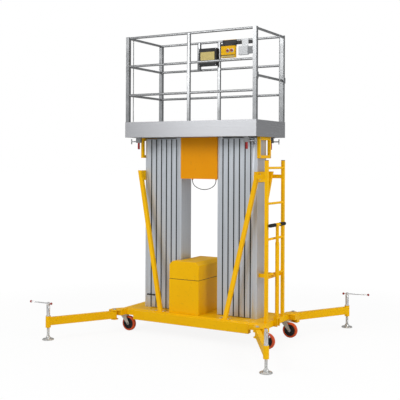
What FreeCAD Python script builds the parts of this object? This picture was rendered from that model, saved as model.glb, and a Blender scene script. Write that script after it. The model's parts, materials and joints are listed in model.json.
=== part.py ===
import FreeCAD, Part
import math
import os
import re
import Sketcher

# Twin-mast aluminium access lift, millimetres. The origin is on the floor under the middle of
# the machine, +X along its long side towards the ladder, +Y away from the operator's front, +Z up.

Vector = FreeCAD.Vector
doc = FreeCAD.newDocument("mast_lift")
sheet = doc.addObject("Spreadsheet::Sheet", "Sizes")

# Driving dimensions: name, value in millimetres.
SIZES = (
    # chassis
    ("frame_half_length", 860), ("frame_half_depth", 330), ("end_beam_width", 160),
    ("end_beam_height", 55), ("beam_top", 235), ("beam_height", 100), ("beam_width", 60),
    ("cross_beam_width", 80), ("cross_beam_x", 455),
    ("floor_thickness", 6), ("floor_inset", 45), ("foot_inset", 80),
    # castors
    ("castor_inset_x", 25), ("castor_inset_y", 40), ("castor_trail", 58), ("wheel_radius", 80),
    ("wheel_width", 42), ("hub_radius", 22), ("hub_width", 50), ("axle_radius", 6),
    ("castor_plate_length", 100), ("castor_plate_width", 85), ("castor_plate_thickness", 7),
    ("fork_thickness", 5), ("fork_crown_radius", 34), ("fork_crown_thickness", 12),
    # outriggers
    ("pivot_out", 120), ("reach_x", 387), ("reach_y", 640),
    ("arm_width", 50), ("arm_height", 80), ("arm_bottom", 152), ("arm_clearance", 3),
    ("pin_radius", 10), ("pin_head_radius", 17), ("pin_head_height", 12),
    ("lug_radius", 40), ("lug_thickness", 8), ("lug_web_inner", 42), ("lug_web_outer", 72),
    ("lug_web_near", 58), ("stub_inner", 65), ("stub_clearance", 10),
    ("sleeve_radius", 27), ("sleeve_bottom", 128), ("sleeve_top", 246),
    ("jack_tube_radius", 18), ("jack_tube_top", 366), ("jack_rod_radius", 13.5),
    ("jack_rod_top", 250), ("pad_radius", 60), ("pad_thickness", 12), ("pad_boss_radius", 22),
    ("pad_boss_top", 34), ("bar_radius", 6), ("bar_reach", 235), ("bar_tail", 40),
    ("ball_radius", 13),
    # masts
    ("mast_inset", 170), ("fixed_pitch", 80), ("section_pitch", 65), ("mast_half_depth", 105),
    ("section_gap", 3), ("mast_top", 2112), ("mast_lift_off", 6),
    ("rail_offset", 68), ("rail_stem", 10), ("rail_head", 22), ("rail_head_depth", 6),
    ("rail_depth", 16), ("slide_clearance", 0.5), ("groove_depth", 2), ("groove_edge", 20),
    ("chamber_wall", 5), ("chamber_half", 51), ("chamber_web", 5),
    # mast collars, braces
    ("collar_bottom", 1655), ("collar_height", 109), ("collar_thickness", 20),
    ("collar_half_depth", 190), ("brace_size", 42), ("brace_top_z", 1712),
    ("brace_top_out", 21), ("brace_top_y", 167), ("brace_foot_in", 295),
    ("brace_shoe_length", 110), ("brace_shoe_width", 64), ("brace_shoe_thickness", 6),
    # ladder and tow handle
    ("ladder_inset", 20), ("ladder_half_width", 205), ("stile_depth", 30), ("stile_width", 38),
    ("ladder_top", 1880), ("rung_radius", 12.5), ("first_rung", 715), ("rung_spacing", 363),
    ("tie_height", 40), ("tie_thickness", 8), ("lower_tie_z", 690),
    ("tow_out", 24), ("tow_y", -35), ("tow_hinge_z", 264), ("tow_sleeve_radius", 21),
    ("tow_tube_radius", 17), ("tow_sleeve_top", 1040), ("tow_top", 1222),
    ("tow_bar_half", 185), ("tow_bar_radius", 12), ("tow_tee_radius", 19), ("tow_tee_half", 21),
    ("grip_radius", 17), ("grip_length", 120),
    ("tow_ear_thickness", 8), ("tow_pin_radius", 8),
    # power pack
    ("cabinet_wing", 82), ("cabinet_right", 76), ("cabinet_back", 150),
    ("cabinet_clearance", 18), ("cabinet_recess_y", -122),
    ("cabinet_height", 362), ("lid_height", 192), ("lid_bevel", 40), ("lid_gap", 3),
    # platform
    ("deck_inset", 66), ("deck_half_depth", 361), ("deck_bottom", 2124),
    ("fascia_height", 168), ("fascia_thickness", 4), ("deck_frame_height", 40),
    ("deck_frame_width", 40), ("deck_plate_thickness", 4),
    ("guard_height", 1100), ("corner_post", 40), ("mid_post", 30), ("rail_radius", 13),
    ("lower_rail", 462), ("upper_rail", 778), ("entry_rail", 615), ("entry_sleeve_height", 60),
    ("entry_sleeve_wall", 5), ("entry_clearance", 0.6), ("end_rod_radius", 5), ("end_rod_y", 205),
    ("carriage_half_depth", 124), ("carriage_bottom", 1678), ("carriage_wall", 4),
    ("bracket_out", 10), ("bracket_thickness", 30), ("bracket_half_depth", 143),
    ("bracket_bottom", 1902), ("bracket_bar", 32),
    ("gland_radius", 9), ("gland_height", 14), ("cable_share", 0.655), ("cable_diameter", 8),
    ("clamp_inset", 42), ("clamp_y", 295), ("clamp_drop", 44), ("clamp_body_length", 60),
    ("clamp_body_width", 24), ("clamp_rod_radius", 6), ("clamp_rod_length", 65),
    ("clamp_head_height", 56), ("clamp_grip_radius", 11), ("clamp_grip_height", 70),
    # controls on the back guard rail
    ("panel_depth", 45), ("strap_thickness", 4), ("strap_lap", 30), ("upright_width", 30),
    ("upright_lap", 20), ("duct_depth", 12), ("duct_height", 30),
)
for row, (alias, number) in enumerate(SIZES, start=1):
    sheet.set(f"A{row}", str(number))
    sheet.setAlias(f"A{row}", alias)
doc.recompute()

# Places that follow from the chassis, as expressions over the named sizes.
PIVOT_X = "frame_half_length"
PIVOT_Y = "(frame_half_depth + pivot_out)"
PAD_X = "(frame_half_length + reach_x)"
PAD_Y = "(frame_half_depth + pivot_out + reach_y)"
CASTOR_X = "(frame_half_length - castor_inset_x)"
CASTOR_Y = "(frame_half_depth - castor_inset_y)"
MAST_OUTER = "(frame_half_length - mast_inset)"
LADDER_X = "(frame_half_length - ladder_inset)"
TOW_X = "(frame_half_length + tow_out)"
DECK_X = "(frame_half_length - deck_inset)"
FOOT_Y = "(frame_half_depth - foot_inset)"

# Corner of the machine: name, side along X, side along Y, direction of the jack's turning bar.
CORNERS = (("fr", 1, -1, -59), ("br", 1, 1, 12), ("fl", -1, -1, 180), ("bl", -1, 1, 135))
# Boxes on the back rail: name, left, right, bottom and top above the deck's underside, and the
# ends of the strap that hooks on the top rail. The first box is fixed to an upright instead.
CONTROLS = (("control_box", -232, -5, 816, 1016, None),
            ("control_panel", 54, 224, 896, 1046, (54, 224)),
            ("socket_box", 270, 380, 916, 1016, (290, 370)))
# Sides of the machine: name, side along X.
SIDES = (("left", -1), ("right", 1))
SECTIONS = 7
# Route of the slack cable under the carriage, from its left gland: share of the distance between
# the two glands, and up or down.
CABLE_ROUTE = ((0, 0), (0, -28), (0.096, -68), (0.288, -96), (0.5, -106), (0.712, -96),
               (0.904, -68), (1, -28), (1, 0))

sub_parts = []


def value(text):
    return float(sheet.evalExpression(text))


def bound(text):
    return re.sub(r"[a-z][a-z_0-9]*", lambda word: "Sizes." + word.group(0), text)


def add(kind, name, **sizes):
    item = doc.addObject(kind, name)
    for key, text in sizes.items():
        item.setExpression(key, bound(text))
    return item


def place(item, x, y, z, turn=None):
    if turn:
        item.Placement = FreeCAD.Placement(Vector(), turn)
    for axis, text in zip("xyz", (x, y, z)):
        item.setExpression(f"Placement.Base.{axis}", bound(text))
    return item


def block(name, corner, extent):
    item = add("Part::Box", name, Length=extent[0], Width=extent[1], Height=extent[2])
    return place(item, *corner)


TURNS = {
    "x": FreeCAD.Rotation(Vector(0, 1, 0), 90),
    "y": FreeCAD.Rotation(Vector(1, 0, 0), -90),
    "z": None,
}


def rod(name, radius, length, base, axis="z"):
    item = add("Part::Cylinder", name, Radius=radius, Height=length)
    return place(item, *base, turn=TURNS[axis])


def signed(text, side):
    return text if side > 0 else f"-{text}"


def join(name, pieces):
    item = doc.addObject("Part::MultiFuse", name)
    item.Shapes = pieces
    return item


def cut(name, base, tool):
    item = doc.addObject("Part::Cut", name)
    item.Base = base
    item.Tool = tool
    return item


def origin_plane(body, role):
    return [item for item in body.Origin.OriginFeatures if item.Role == role][0]


def outline(body, name, role, corners):
    sketch = body.newObject("Sketcher::SketchObject", name)
    sketch.AttachmentSupport = (origin_plane(body, role), [""])
    sketch.MapMode = "FlatFace"
    add_loop(sketch, corners)
    return sketch


def add_loop(sketch, corners):
    first = sketch.GeometryCount
    points = [Vector(value(x), value(y), 0) for x, y in corners]
    count = len(points)
    for i in range(count):
        sketch.addGeometry(Part.LineSegment(points[i], points[(i + 1) % count]), False)
    for i in range(count):
        following = first + (i + 1) % count
        sketch.addConstraint(Sketcher.Constraint("Coincident", first + i, 2, following, 1))
    for i, (x, y) in enumerate(corners):
        for kind, text, number in (("DistanceX", x, points[i].x), ("DistanceY", y, points[i].y)):
            made = Sketcher.Constraint(kind, -1, 1, first + i, 1, number)
            index = sketch.addConstraint(made)
            sketch.setExpression(f"Constraints[{index}]", bound(text))


def pad(body, name, sketch, length, midplane=False):
    feature = body.newObject("PartDesign::Pad", name)
    feature.Profile = sketch
    feature.setExpression("Length", bound(length))
    feature.Midplane = midplane
    return feature


def revolve(body, name, sketch, axis):
    feature = body.newObject("PartDesign::Revolution", name)
    feature.Profile = sketch
    feature.ReferenceAxis = (sketch, [axis])
    feature.Angle = 360
    return feature


def tube_between(start, end, size):
    line = end - start
    shape = Part.makeBox(size, size, line.Length, Vector(-size / 2, -size / 2, 0))
    turn = FreeCAD.Rotation(Vector(0, 0, 1), line)
    shape.Placement = FreeCAD.Placement(start, turn)
    return shape


def keep(label, item):
    item.Label = label
    sub_parts.append(item)
    return item


def chassis():
    # Two long box beams, two end beams across them and two cross beams under the masts.
    pieces = []
    for name, side in (("front", -1), ("back", 1)):
        low = "frame_half_depth - beam_width" if side > 0 else "-frame_half_depth"
        long_x = "frame_half_length - end_beam_width"
        pieces.append(block(f"long_beam_{name}", (f"-({long_x})", low, "beam_top - beam_height"),
                            (f"2 * ({long_x})", "beam_width", "beam_height")))
    for name, side in SIDES:
        low = "frame_half_length - end_beam_width" if side > 0 else "-frame_half_length"
        pieces.append(block(f"end_beam_{name}",
                            (low, "-frame_half_depth", "beam_top - end_beam_height"),
                            ("end_beam_width", "2 * frame_half_depth", "end_beam_height")))
        middle = "cross_beam_x" if side > 0 else "-cross_beam_x"
        pieces.append(block(f"cross_beam_{name}",
                            (f"{middle} - cross_beam_width / 2", "-(frame_half_depth - beam_width)",
                             "beam_top - end_beam_height"),
                            ("cross_beam_width", "2 * (frame_half_depth - beam_width)",
                             "end_beam_height")))
    floor_y = "(frame_half_depth - floor_inset)"
    pieces.append(block("ChassisFloor", ("-frame_half_length", f"-{floor_y}", "beam_top"),
                        ("2 * frame_half_length", f"2 * {floor_y}", "floor_thickness")))
    keep("chassis_frame", join("ChassisFrame", pieces))


def corner_angle(side_x, side_y):
    angle = math.degrees(math.atan2(value("reach_y"), value("reach_x")))
    if side_x < 0:
        angle = 180 - angle
    return angle * side_y


def at_pivot(item, side_x, side_y):
    turn = FreeCAD.Rotation(Vector(0, 0, 1), corner_angle(side_x, side_y))
    return place(item, signed(PIVOT_X, side_x), signed(PIVOT_Y, side_y), "0", turn=turn)


def plate_at_corner(name, corners, side_x, side_y, base, thickness):
    body = doc.addObject("PartDesign::Body", name)
    points = [(signed(f"({x})", side_x), signed(f"({y})", side_y)) for x, y in corners]
    if side_x * side_y < 0:
        points.reverse()
    pad(body, f"{name}_pad", outline(body, f"{name}_plan", "XY_Plane", points), thickness)
    return place(body, "0", "0", base)


def outrigger_lug(name, side_x, side_y):
    # Welded corner: a stub off the end beam, a plate above and below the arm, and a web between
    # them on the outboard side, clear of the swinging arm and of the turning castor.
    under = "arm_bottom - arm_clearance - lug_thickness"
    pivot = (signed(PIVOT_X, side_x), signed(PIVOT_Y, side_y))
    outer = "frame_half_length + lug_web_outer"
    inner = "frame_half_length + lug_web_inner"
    near = "frame_half_depth + lug_web_near"
    far = f"{PIVOT_Y} + lug_thickness"
    beam = "frame_half_length - stub_inner"
    above = (beam, "frame_half_depth - castor_inset_y"), (beam, f"{PIVOT_Y} - lug_radius"), \
            (f"{PIVOT_X} - lug_radius * 0.9", PIVOT_Y), (PIVOT_X, f"{PIVOT_Y} + lug_radius"), \
            (outer, far), (outer, near), ("frame_half_length", "frame_half_depth - castor_inset_y")
    below = (inner, near), (f"{PIVOT_X} - lug_radius * 0.8", f"{PIVOT_Y} - lug_radius * 0.5"), \
            (f"{PIVOT_X} - lug_radius * 0.8", f"{PIVOT_Y} + lug_radius * 0.5"), \
            (PIVOT_X, f"{PIVOT_Y} + lug_radius"), (outer, far), (outer, near)
    web = (inner, near), (inner, far), (outer, far), (outer, near)
    stub_y = f"(pivot_out - arm_width / 2 - stub_clearance)"
    stub_x = f"({outer} - ({beam}))"
    stub_low = (beam if side_x > 0 else f"-({outer})",
                "frame_half_depth" if side_y > 0 else f"-frame_half_depth - {stub_y}",
                "beam_top - end_beam_height")
    pieces = [
        plate_at_corner(f"LugAbove_{name}", above, side_x, side_y, "beam_top", "lug_thickness"),
        plate_at_corner(f"LugBelow_{name}", below, side_x, side_y, under, "lug_thickness"),
        plate_at_corner(f"LugWeb_{name}", web, side_x, side_y, under, f"beam_top - ({under})"),
        rod(f"LugAboveEye_{name}", "lug_radius", "lug_thickness", (*pivot, "beam_top")),
        rod(f"LugBelowEye_{name}", "lug_radius", "lug_thickness", (*pivot, under)),
        block(f"LugStub_{name}", stub_low, (stub_x, stub_y, "end_beam_height")),
    ]
    hole = rod(f"LugHole_{name}", "pin_radius + 0.3", "200", (*pivot, f"{under} - 10"))
    return cut(f"OutriggerLug_{name}", join(f"LugSolid_{name}", pieces), hole)


def outrigger_pin(name, side_x, side_y):
    low = "arm_bottom - arm_clearance - lug_thickness - 8"
    top = "beam_top + lug_thickness"
    pivot = (signed(PIVOT_X, side_x), signed(PIVOT_Y, side_y))
    shank = rod(f"PinShank_{name}", "pin_radius", f"{top} - ({low})", (*pivot, low))
    head = rod(f"PinHead_{name}", "pin_head_radius", "pin_head_height", (*pivot, top))
    return join(f"OutriggerPin_{name}", [shank, head])


def outrigger_arm(name, side_x, side_y):
    # Box tube from the pin to an upright sleeve, with the jack's outer tube standing on it.
    length = math.hypot(value("reach_x"), value("reach_y"))
    height = value("arm_height")
    low = value("arm_bottom")
    width = value("arm_width")
    tube = Part.makeBox(length, width, height, Vector(0, -width / 2, low))
    heel = Part.makeCylinder(width / 2, height, Vector(0, 0, low))
    sleeve_low = value("sleeve_bottom")
    sleeve = Part.makeCylinder(value("sleeve_radius"), value("sleeve_top") - sleeve_low,
                               Vector(length, 0, sleeve_low))
    jack_top = value("jack_tube_top")
    jack = Part.makeCylinder(value("jack_tube_radius"), jack_top - sleeve_low,
                             Vector(length, 0, sleeve_low))
    bore = Part.makeCylinder(value("jack_rod_radius + 0.3"), jack_top - sleeve_low - 15,
                             Vector(length, 0, sleeve_low))
    eye = Part.makeCylinder(value("pin_radius + 0.3"), height, Vector(0, 0, low))
    shape = tube.multiFuse([heel, sleeve, jack]).removeSplitter().cut(bore).cut(eye)
    item = doc.addObject("Part::Feature", f"OutriggerArm_{name}")
    item.Shape = shape
    return at_pivot(item, side_x, side_y)


def jack_bar(name, side_x, side_y, direction):
    # Sliding bar through a head on the jack's tube, with a knob at each end.
    head_height = 24
    bar_z = head_height / 2
    head = Part.makeCylinder(value("jack_tube_radius - 3"), head_height)
    reach, tail = value("bar_reach"), value("bar_tail")
    bar = Part.makeCylinder(value("bar_radius"), reach + tail, Vector(-tail, 0, bar_z),
                            Vector(1, 0, 0))
    ball = value("ball_radius")
    knobs = []
    for end in (-tail, reach):
        for offset, near, far in ((-ball, ball * 0.45, ball), (0, ball, ball * 0.45)):
            knobs.append(Part.makeCone(near, far, ball, Vector(end + offset, 0, bar_z),
                                       Vector(1, 0, 0)))
    item = doc.addObject("Part::Feature", f"JackBar_{name}")
    item.Shape = head.multiFuse([bar] + knobs)
    return place(item, signed(PAD_X, side_x), signed(PAD_Y, side_y), "jack_tube_top",
                 turn=FreeCAD.Rotation(Vector(0, 0, 1), direction))


def jack_foot(name, side_x, side_y):
    # Turned rod and floor pad.
    body = doc.addObject("PartDesign::Body", f"JackFoot_{name}")
    profile = (("0", "0"), ("pad_radius", "0"), ("pad_radius", "pad_thickness * 0.6"),
               ("pad_radius - 5", "pad_thickness"), ("pad_boss_radius + 4", "pad_thickness + 4"),
               ("pad_boss_radius", "pad_boss_top"), ("jack_rod_radius", "pad_boss_top + 8"),
               ("jack_rod_radius", "jack_rod_top"), ("0", "jack_rod_top"))
    sketch = outline(body, f"FootProfile_{name}", "XZ_Plane", profile)
    revolve(body, f"FootTurned_{name}", sketch, "V_Axis")
    return place(body, signed(PAD_X, side_x), signed(PAD_Y, side_y), "0")


def outriggers():
    for name, side_x, side_y, direction in CORNERS:
        keep(f"outrigger_lug_{name}", outrigger_lug(name, side_x, side_y))
        keep(f"outrigger_arm_{name}", outrigger_arm(name, side_x, side_y))
        keep(f"jack_bar_{name}", jack_bar(name, side_x, side_y, direction))
        keep(f"jack_foot_{name}", jack_foot(name, side_x, side_y))
    pins = [outrigger_pin(name, side_x, side_y) for name, side_x, side_y, _ in CORNERS]
    keep("outrigger_pins", join("OutriggerPins", pins))


def castor_fork(name):
    # Pressed fork: a crown under the plate and two legs that trail down to the axle.
    body = doc.addObject("PartDesign::Body", f"CastorFork_{name}")
    crown_top = "beam_top - end_beam_height - castor_plate_thickness - 0.3"
    crown_low = f"{crown_top} - fork_crown_thickness"
    legs = (("-fork_crown_radius", crown_low), ("-fork_crown_radius", crown_top),
            ("fork_crown_radius", crown_top), ("fork_crown_radius", crown_low),
            ("castor_trail + 17", "wheel_radius"), ("castor_trail + 8", "wheel_radius - 15"),
            ("castor_trail - 8", "wheel_radius - 15"), ("castor_trail - 17", "wheel_radius"))
    sketch = outline(body, f"ForkSide_{name}", "XZ_Plane", legs)
    pad(body, f"ForkWidth_{name}", sketch, "hub_width + 2 * fork_thickness + 2", midplane=True)
    gap = (("-200", "0"), ("200", "0"), ("200", crown_low), ("-200", crown_low))
    inner = outline(body, f"ForkGap_{name}", "XZ_Plane", gap)
    doc.recompute()
    pocket = body.newObject("PartDesign::Pocket", f"ForkInside_{name}")
    pocket.Profile = inner
    pocket.setExpression("Length", bound("hub_width + 2"))
    pocket.Midplane = True
    return body


def castor_wheel(name):
    # Tyre, web and hub turned about the axle.
    body = doc.addObject("PartDesign::Body", f"CastorWheel_{name}")
    half = "wheel_width / 2"
    profile = (("axle_radius + 0.3", "-hub_width / 2"), ("hub_radius", "-hub_width / 2"),
               ("hub_radius", f"-{half} + 8"), ("wheel_radius - 24", f"-{half} + 10"),
               ("wheel_radius - 19", f"-{half}"), ("wheel_radius - 7", f"-{half}"),
               ("wheel_radius", f"-{half} + 7"), ("wheel_radius", f"{half} - 7"),
               ("wheel_radius - 7", half), ("wheel_radius - 19", half),
               ("wheel_radius - 24", f"{half} - 10"), ("hub_radius", f"{half} - 8"),
               ("hub_radius", "hub_width / 2"), ("axle_radius + 0.3", "hub_width / 2"))
    sketch = outline(body, f"WheelProfile_{name}", "XY_Plane", profile)
    revolve(body, f"WheelTurned_{name}", sketch, "V_Axis")
    return body


def castors():
    plates = []
    for name, side_x, side_y, _ in CORNERS:
        x = signed(CASTOR_X, side_x)
        y = signed(CASTOR_Y, side_y)
        under = "beam_top - end_beam_height - castor_plate_thickness"
        plates.append(block(f"CastorPlate_{name}",
                            (f"{x} - castor_plate_length / 2", f"{y} - castor_plate_width / 2",
                             under),
                            ("castor_plate_length", "castor_plate_width",
                             "castor_plate_thickness")))
        fork = place(castor_fork(name), x, y, "0")
        axle = rod(f"CastorAxle_{name}", "axle_radius", "hub_width + 2 * fork_thickness + 14",
                   (f"{x} + castor_trail", f"{y} - hub_width / 2 - fork_thickness - 7",
                    "wheel_radius"), axis="y")
        collar = rod(f"CastorCollar_{name}", "fork_crown_radius / 2", "4",
                     (x, y, f"{under} - 0.3 - fork_crown_thickness - 4"))
        keep(f"castor_fork_{name}", join(f"ForkAndAxle_{name}", [fork, axle, collar]))
        keep(f"castor_wheel_{name}", place(castor_wheel(name), f"{x} + castor_trail", y,
                                           "wheel_radius"))
    keep("castor_plates", join("CastorPlates", plates))


def section_faces(number):
    # Distances of a section's outboard and inboard faces from the machine's middle.
    if number == 1:
        return MAST_OUTER, f"({MAST_OUTER} - fixed_pitch + section_gap)"
    outboard = f"({MAST_OUTER} - fixed_pitch - {number - 2} * section_pitch)"
    return outboard, f"({outboard} - (section_pitch - section_gap))"


def section_outline(number, side):
    # Plan of one extrusion: slots in the inboard face take the T-rails of the next section.
    outboard, inboard = section_faces(number)
    lip = "(rail_depth - rail_head_depth - 2 * slide_clearance)"
    mouth = "(rail_stem / 2 + slide_clearance)"
    chamber = "(rail_head / 2 + slide_clearance)"
    groove = ((f"{outboard} - groove_edge", "mast_half_depth"),
              (f"{outboard} - groove_edge", "(mast_half_depth - groove_depth)"),
              (f"{inboard} + groove_edge", "(mast_half_depth - groove_depth)"),
              (f"{inboard} + groove_edge", "mast_half_depth"))
    points = [(outboard, "-mast_half_depth")] + [(x, f"-{y}") for x, y in groove]
    points.append((inboard, "-mast_half_depth"))
    if number < SECTIONS:
        for centre in ("-rail_offset", "rail_offset"):
            points += [(inboard, f"{centre} - {mouth}"),
                       (f"{inboard} + {lip}", f"{centre} - {mouth}"),
                       (f"{inboard} + {lip}", f"{centre} - {chamber}"),
                       (f"{inboard} + rail_depth", f"{centre} - {chamber}"),
                       (f"{inboard} + rail_depth", f"{centre} + {chamber}"),
                       (f"{inboard} + {lip}", f"{centre} + {chamber}"),
                       (f"{inboard} + {lip}", f"{centre} + {mouth}"),
                       (inboard, f"{centre} + {mouth}")]
    points += [(inboard, "mast_half_depth")] + list(reversed(groove))
    points.append((outboard, "mast_half_depth"))
    if number > 1:
        neck = f"({outboard} + section_gap + {lip} + slide_clearance)"
        end = f"({outboard} + section_gap + rail_depth - slide_clearance)"
        for centre in ("rail_offset", "-rail_offset"):
            points += [(outboard, f"{centre} + rail_stem / 2"), (neck, f"{centre} + rail_stem / 2"),
                       (neck, f"{centre} + rail_head / 2"), (end, f"{centre} + rail_head / 2"),
                       (end, f"{centre} - rail_head / 2"), (neck, f"{centre} - rail_head / 2"),
                       (neck, f"{centre} - rail_stem / 2"), (outboard, f"{centre} - rail_stem / 2")]
    return points if side > 0 else mirrored(points)


def mirrored(points):
    return [(f"-({x})", y) for x, y in points]


def section_chambers(number, side):
    # The two hollow chambers of an extrusion, with a web between them.
    outboard, inboard = section_faces(number)
    outer_x = f"{outboard} - chamber_wall"
    inner_x = f"{inboard} + chamber_wall"
    loops = []
    for low, high in (("-chamber_half", "-chamber_web / 2"), ("chamber_web / 2", "chamber_half")):
        loop = [(outer_x, low), (inner_x, low), (inner_x, high), (outer_x, high)]
        loops.append(loop if side > 0 else mirrored(loop))
    return loops


def masts():
    for name, side in SIDES:
        for number in range(1, SECTIONS + 1):
            body = doc.addObject("PartDesign::Body", f"Mast_{name}_{number}")
            sketch = outline(body, f"Section_{name}_{number}", "XY_Plane",
                             section_outline(number, side))
            for loop in section_chambers(number, side):
                add_loop(sketch, loop)
            low = "beam_top + floor_thickness"
            if number > 1:
                low += " + mast_lift_off"
            top = "deck_bottom" if number == SECTIONS else "mast_top"
            pad(body, f"Extrusion_{name}_{number}", sketch, f"{top} - ({low})")
            keep(f"mast_{name}_{number}", place(body, "0", "0", low))


def collars_and_braces():
    floor_top = value("beam_top + floor_thickness")
    overlap = value("brace_size * 1.5")
    span = value("2 * frame_half_length")
    below = Part.makeBox(2 * span, 2 * span, floor_top, Vector(-span, -span, 0))
    collar_top = value("collar_bottom + collar_height")
    above = Part.makeBox(2 * span, 2 * span, 2 * overlap, Vector(-span, -span, collar_top))
    plates = []
    braces = []
    for name, side in SIDES:
        x = MAST_OUTER if side > 0 else f"-{MAST_OUTER} - collar_thickness"
        plate = block(f"Collar_{name}", (x, "-collar_half_depth", "collar_bottom"),
                      ("collar_thickness", "2 * collar_half_depth", "collar_height"))
        plates.append(plate)
        doc.recompute()
        for where, side_y in (("front", -1), ("back", 1)):
            top = Vector(side * value(f"{MAST_OUTER} + brace_top_out"),
                         side_y * value("brace_top_y"), value("brace_top_z"))
            foot_x = f"({MAST_OUTER} - brace_foot_in)"
            foot = Vector(side * value(foot_x), side_y * value(FOOT_Y), floor_top)
            line = (top - foot).normalize()
            shape = tube_between(foot - line * overlap, top + line * overlap,
                                 value("brace_size"))
            shape = shape.cut(below).cut(above).cut(plate.Shape)
            item = doc.addObject("Part::Feature", f"Brace_{name}_{where}")
            item.Shape = shape
            shoe = block(f"BraceShoe_{name}_{where}",
                         (f"{signed(foot_x, side)} - brace_shoe_length / 2",
                          f"{signed(FOOT_Y, side_y)} - brace_shoe_width / 2",
                          "beam_top + floor_thickness"),
                         ("brace_shoe_length", "brace_shoe_width", "brace_shoe_thickness"))
            braces.append(join(f"BraceAndShoe_{name}_{where}", [item, shoe]))
    keep("mast_collars", join("MastCollars", plates))
    keep("mast_braces", join("MastBraces", braces))


def ladder():
    inner = f"{LADDER_X} - stile_depth / 2"
    base = "(beam_top + floor_thickness)"
    pieces = []
    for name, sign in (("front", "-"), ("back", "")):
        y = f"{sign}ladder_half_width - stile_width / 2"
        pieces.append(block(f"Stile_{name}", (inner, y, base),
                            ("stile_depth", "stile_width", f"ladder_top - {base}")))
    for number in range(4):
        pieces.append(rod(f"Rung_{number}", "rung_radius", "2 * ladder_half_width",
                          (LADDER_X, "-ladder_half_width",
                           f"first_rung + {number} * rung_spacing"), axis="y"))
    pieces.append(block("LowerTie", (f"{inner} - tie_thickness", "-ladder_half_width",
                                     "lower_tie_z - tie_height / 2"),
                        ("tie_thickness", "2 * ladder_half_width", "tie_height")))
    for name, y in (("front", "-70"), ("back", "70 - tie_thickness")):
        pieces.append(block(f"LowerTie_{name}", (MAST_OUTER, y, "lower_tie_z - tie_height / 2"),
                            (f"{inner} - {MAST_OUTER}", "tie_thickness", "tie_height")))
    for name, y in (("front", "-collar_half_depth - tie_thickness"),
                    ("back", "collar_half_depth")):
        pieces.append(block(f"UpperTie_{name}", (MAST_OUTER, y, "brace_top_z - tie_height / 2"),
                            (f"{inner} - {MAST_OUTER}", "tie_thickness", "tie_height")))
    keep("ladder", join("Ladder", pieces))


def tow_handle():
    ear_gap = "tow_sleeve_radius + 5"
    reach = f"{TOW_X} + 18 - frame_half_length"
    ears = []
    for name, y in (("front", f"tow_y - ({ear_gap}) - tow_ear_thickness"),
                    ("back", f"tow_y + ({ear_gap})")):
        ears.append(block(f"TowEar_{name}", ("frame_half_length", y, "beam_top - end_beam_height"),
                          (reach, "tow_ear_thickness",
                           "tow_hinge_z + 20 - beam_top + end_beam_height")))
    ears.append(rod("TowPin", "tow_pin_radius", f"2 * ({ear_gap} + tow_ear_thickness) + 12",
                    (TOW_X, f"tow_y - ({ear_gap}) - tow_ear_thickness - 6", "tow_hinge_z"),
                    axis="y"))
    keep("tow_bracket", join("TowBracket", ears))
    barrel = rod("TowBarrel", "tow_sleeve_radius - 4", f"2 * ({ear_gap}) - 0.6",
                 (TOW_X, f"tow_y - ({ear_gap}) + 0.3", "tow_hinge_z"), axis="y")
    sleeve = rod("TowSleeve", "tow_sleeve_radius", "tow_sleeve_top - tow_hinge_z - 8",
                 (TOW_X, "tow_y", "tow_hinge_z + 8"))
    tube = rod("TowTube", "tow_tube_radius", "tow_top - tow_sleeve_top + 20",
               (TOW_X, "tow_y", "tow_sleeve_top - 20"))
    cross = rod("TowCross", "tow_bar_radius", "2 * tow_bar_half",
                (TOW_X, "tow_y - tow_bar_half", "tow_top"), axis="y")
    grips = [rod(f"TowGrip_{name}", "grip_radius", "grip_length", (TOW_X, y, "tow_top"), axis="y")
             for name, y in (("front", "tow_y - tow_bar_half"),
                             ("back", "tow_y + tow_bar_half - grip_length"))]
    tee = rod("TowTee", "tow_tee_radius", "2 * tow_tee_half",
              (TOW_X, "tow_y - tow_tee_half", "tow_top"), axis="y")
    hole = rod("TowPinHole", "tow_pin_radius + 0.3", "200",
               (TOW_X, "tow_y - 100", "tow_hinge_z"), axis="y")
    handle = join("TowHandleSolid", [barrel, sleeve, tube, cross, tee] + grips)
    keep("tow_handle", cut("TowHandle", handle, hole))


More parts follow.
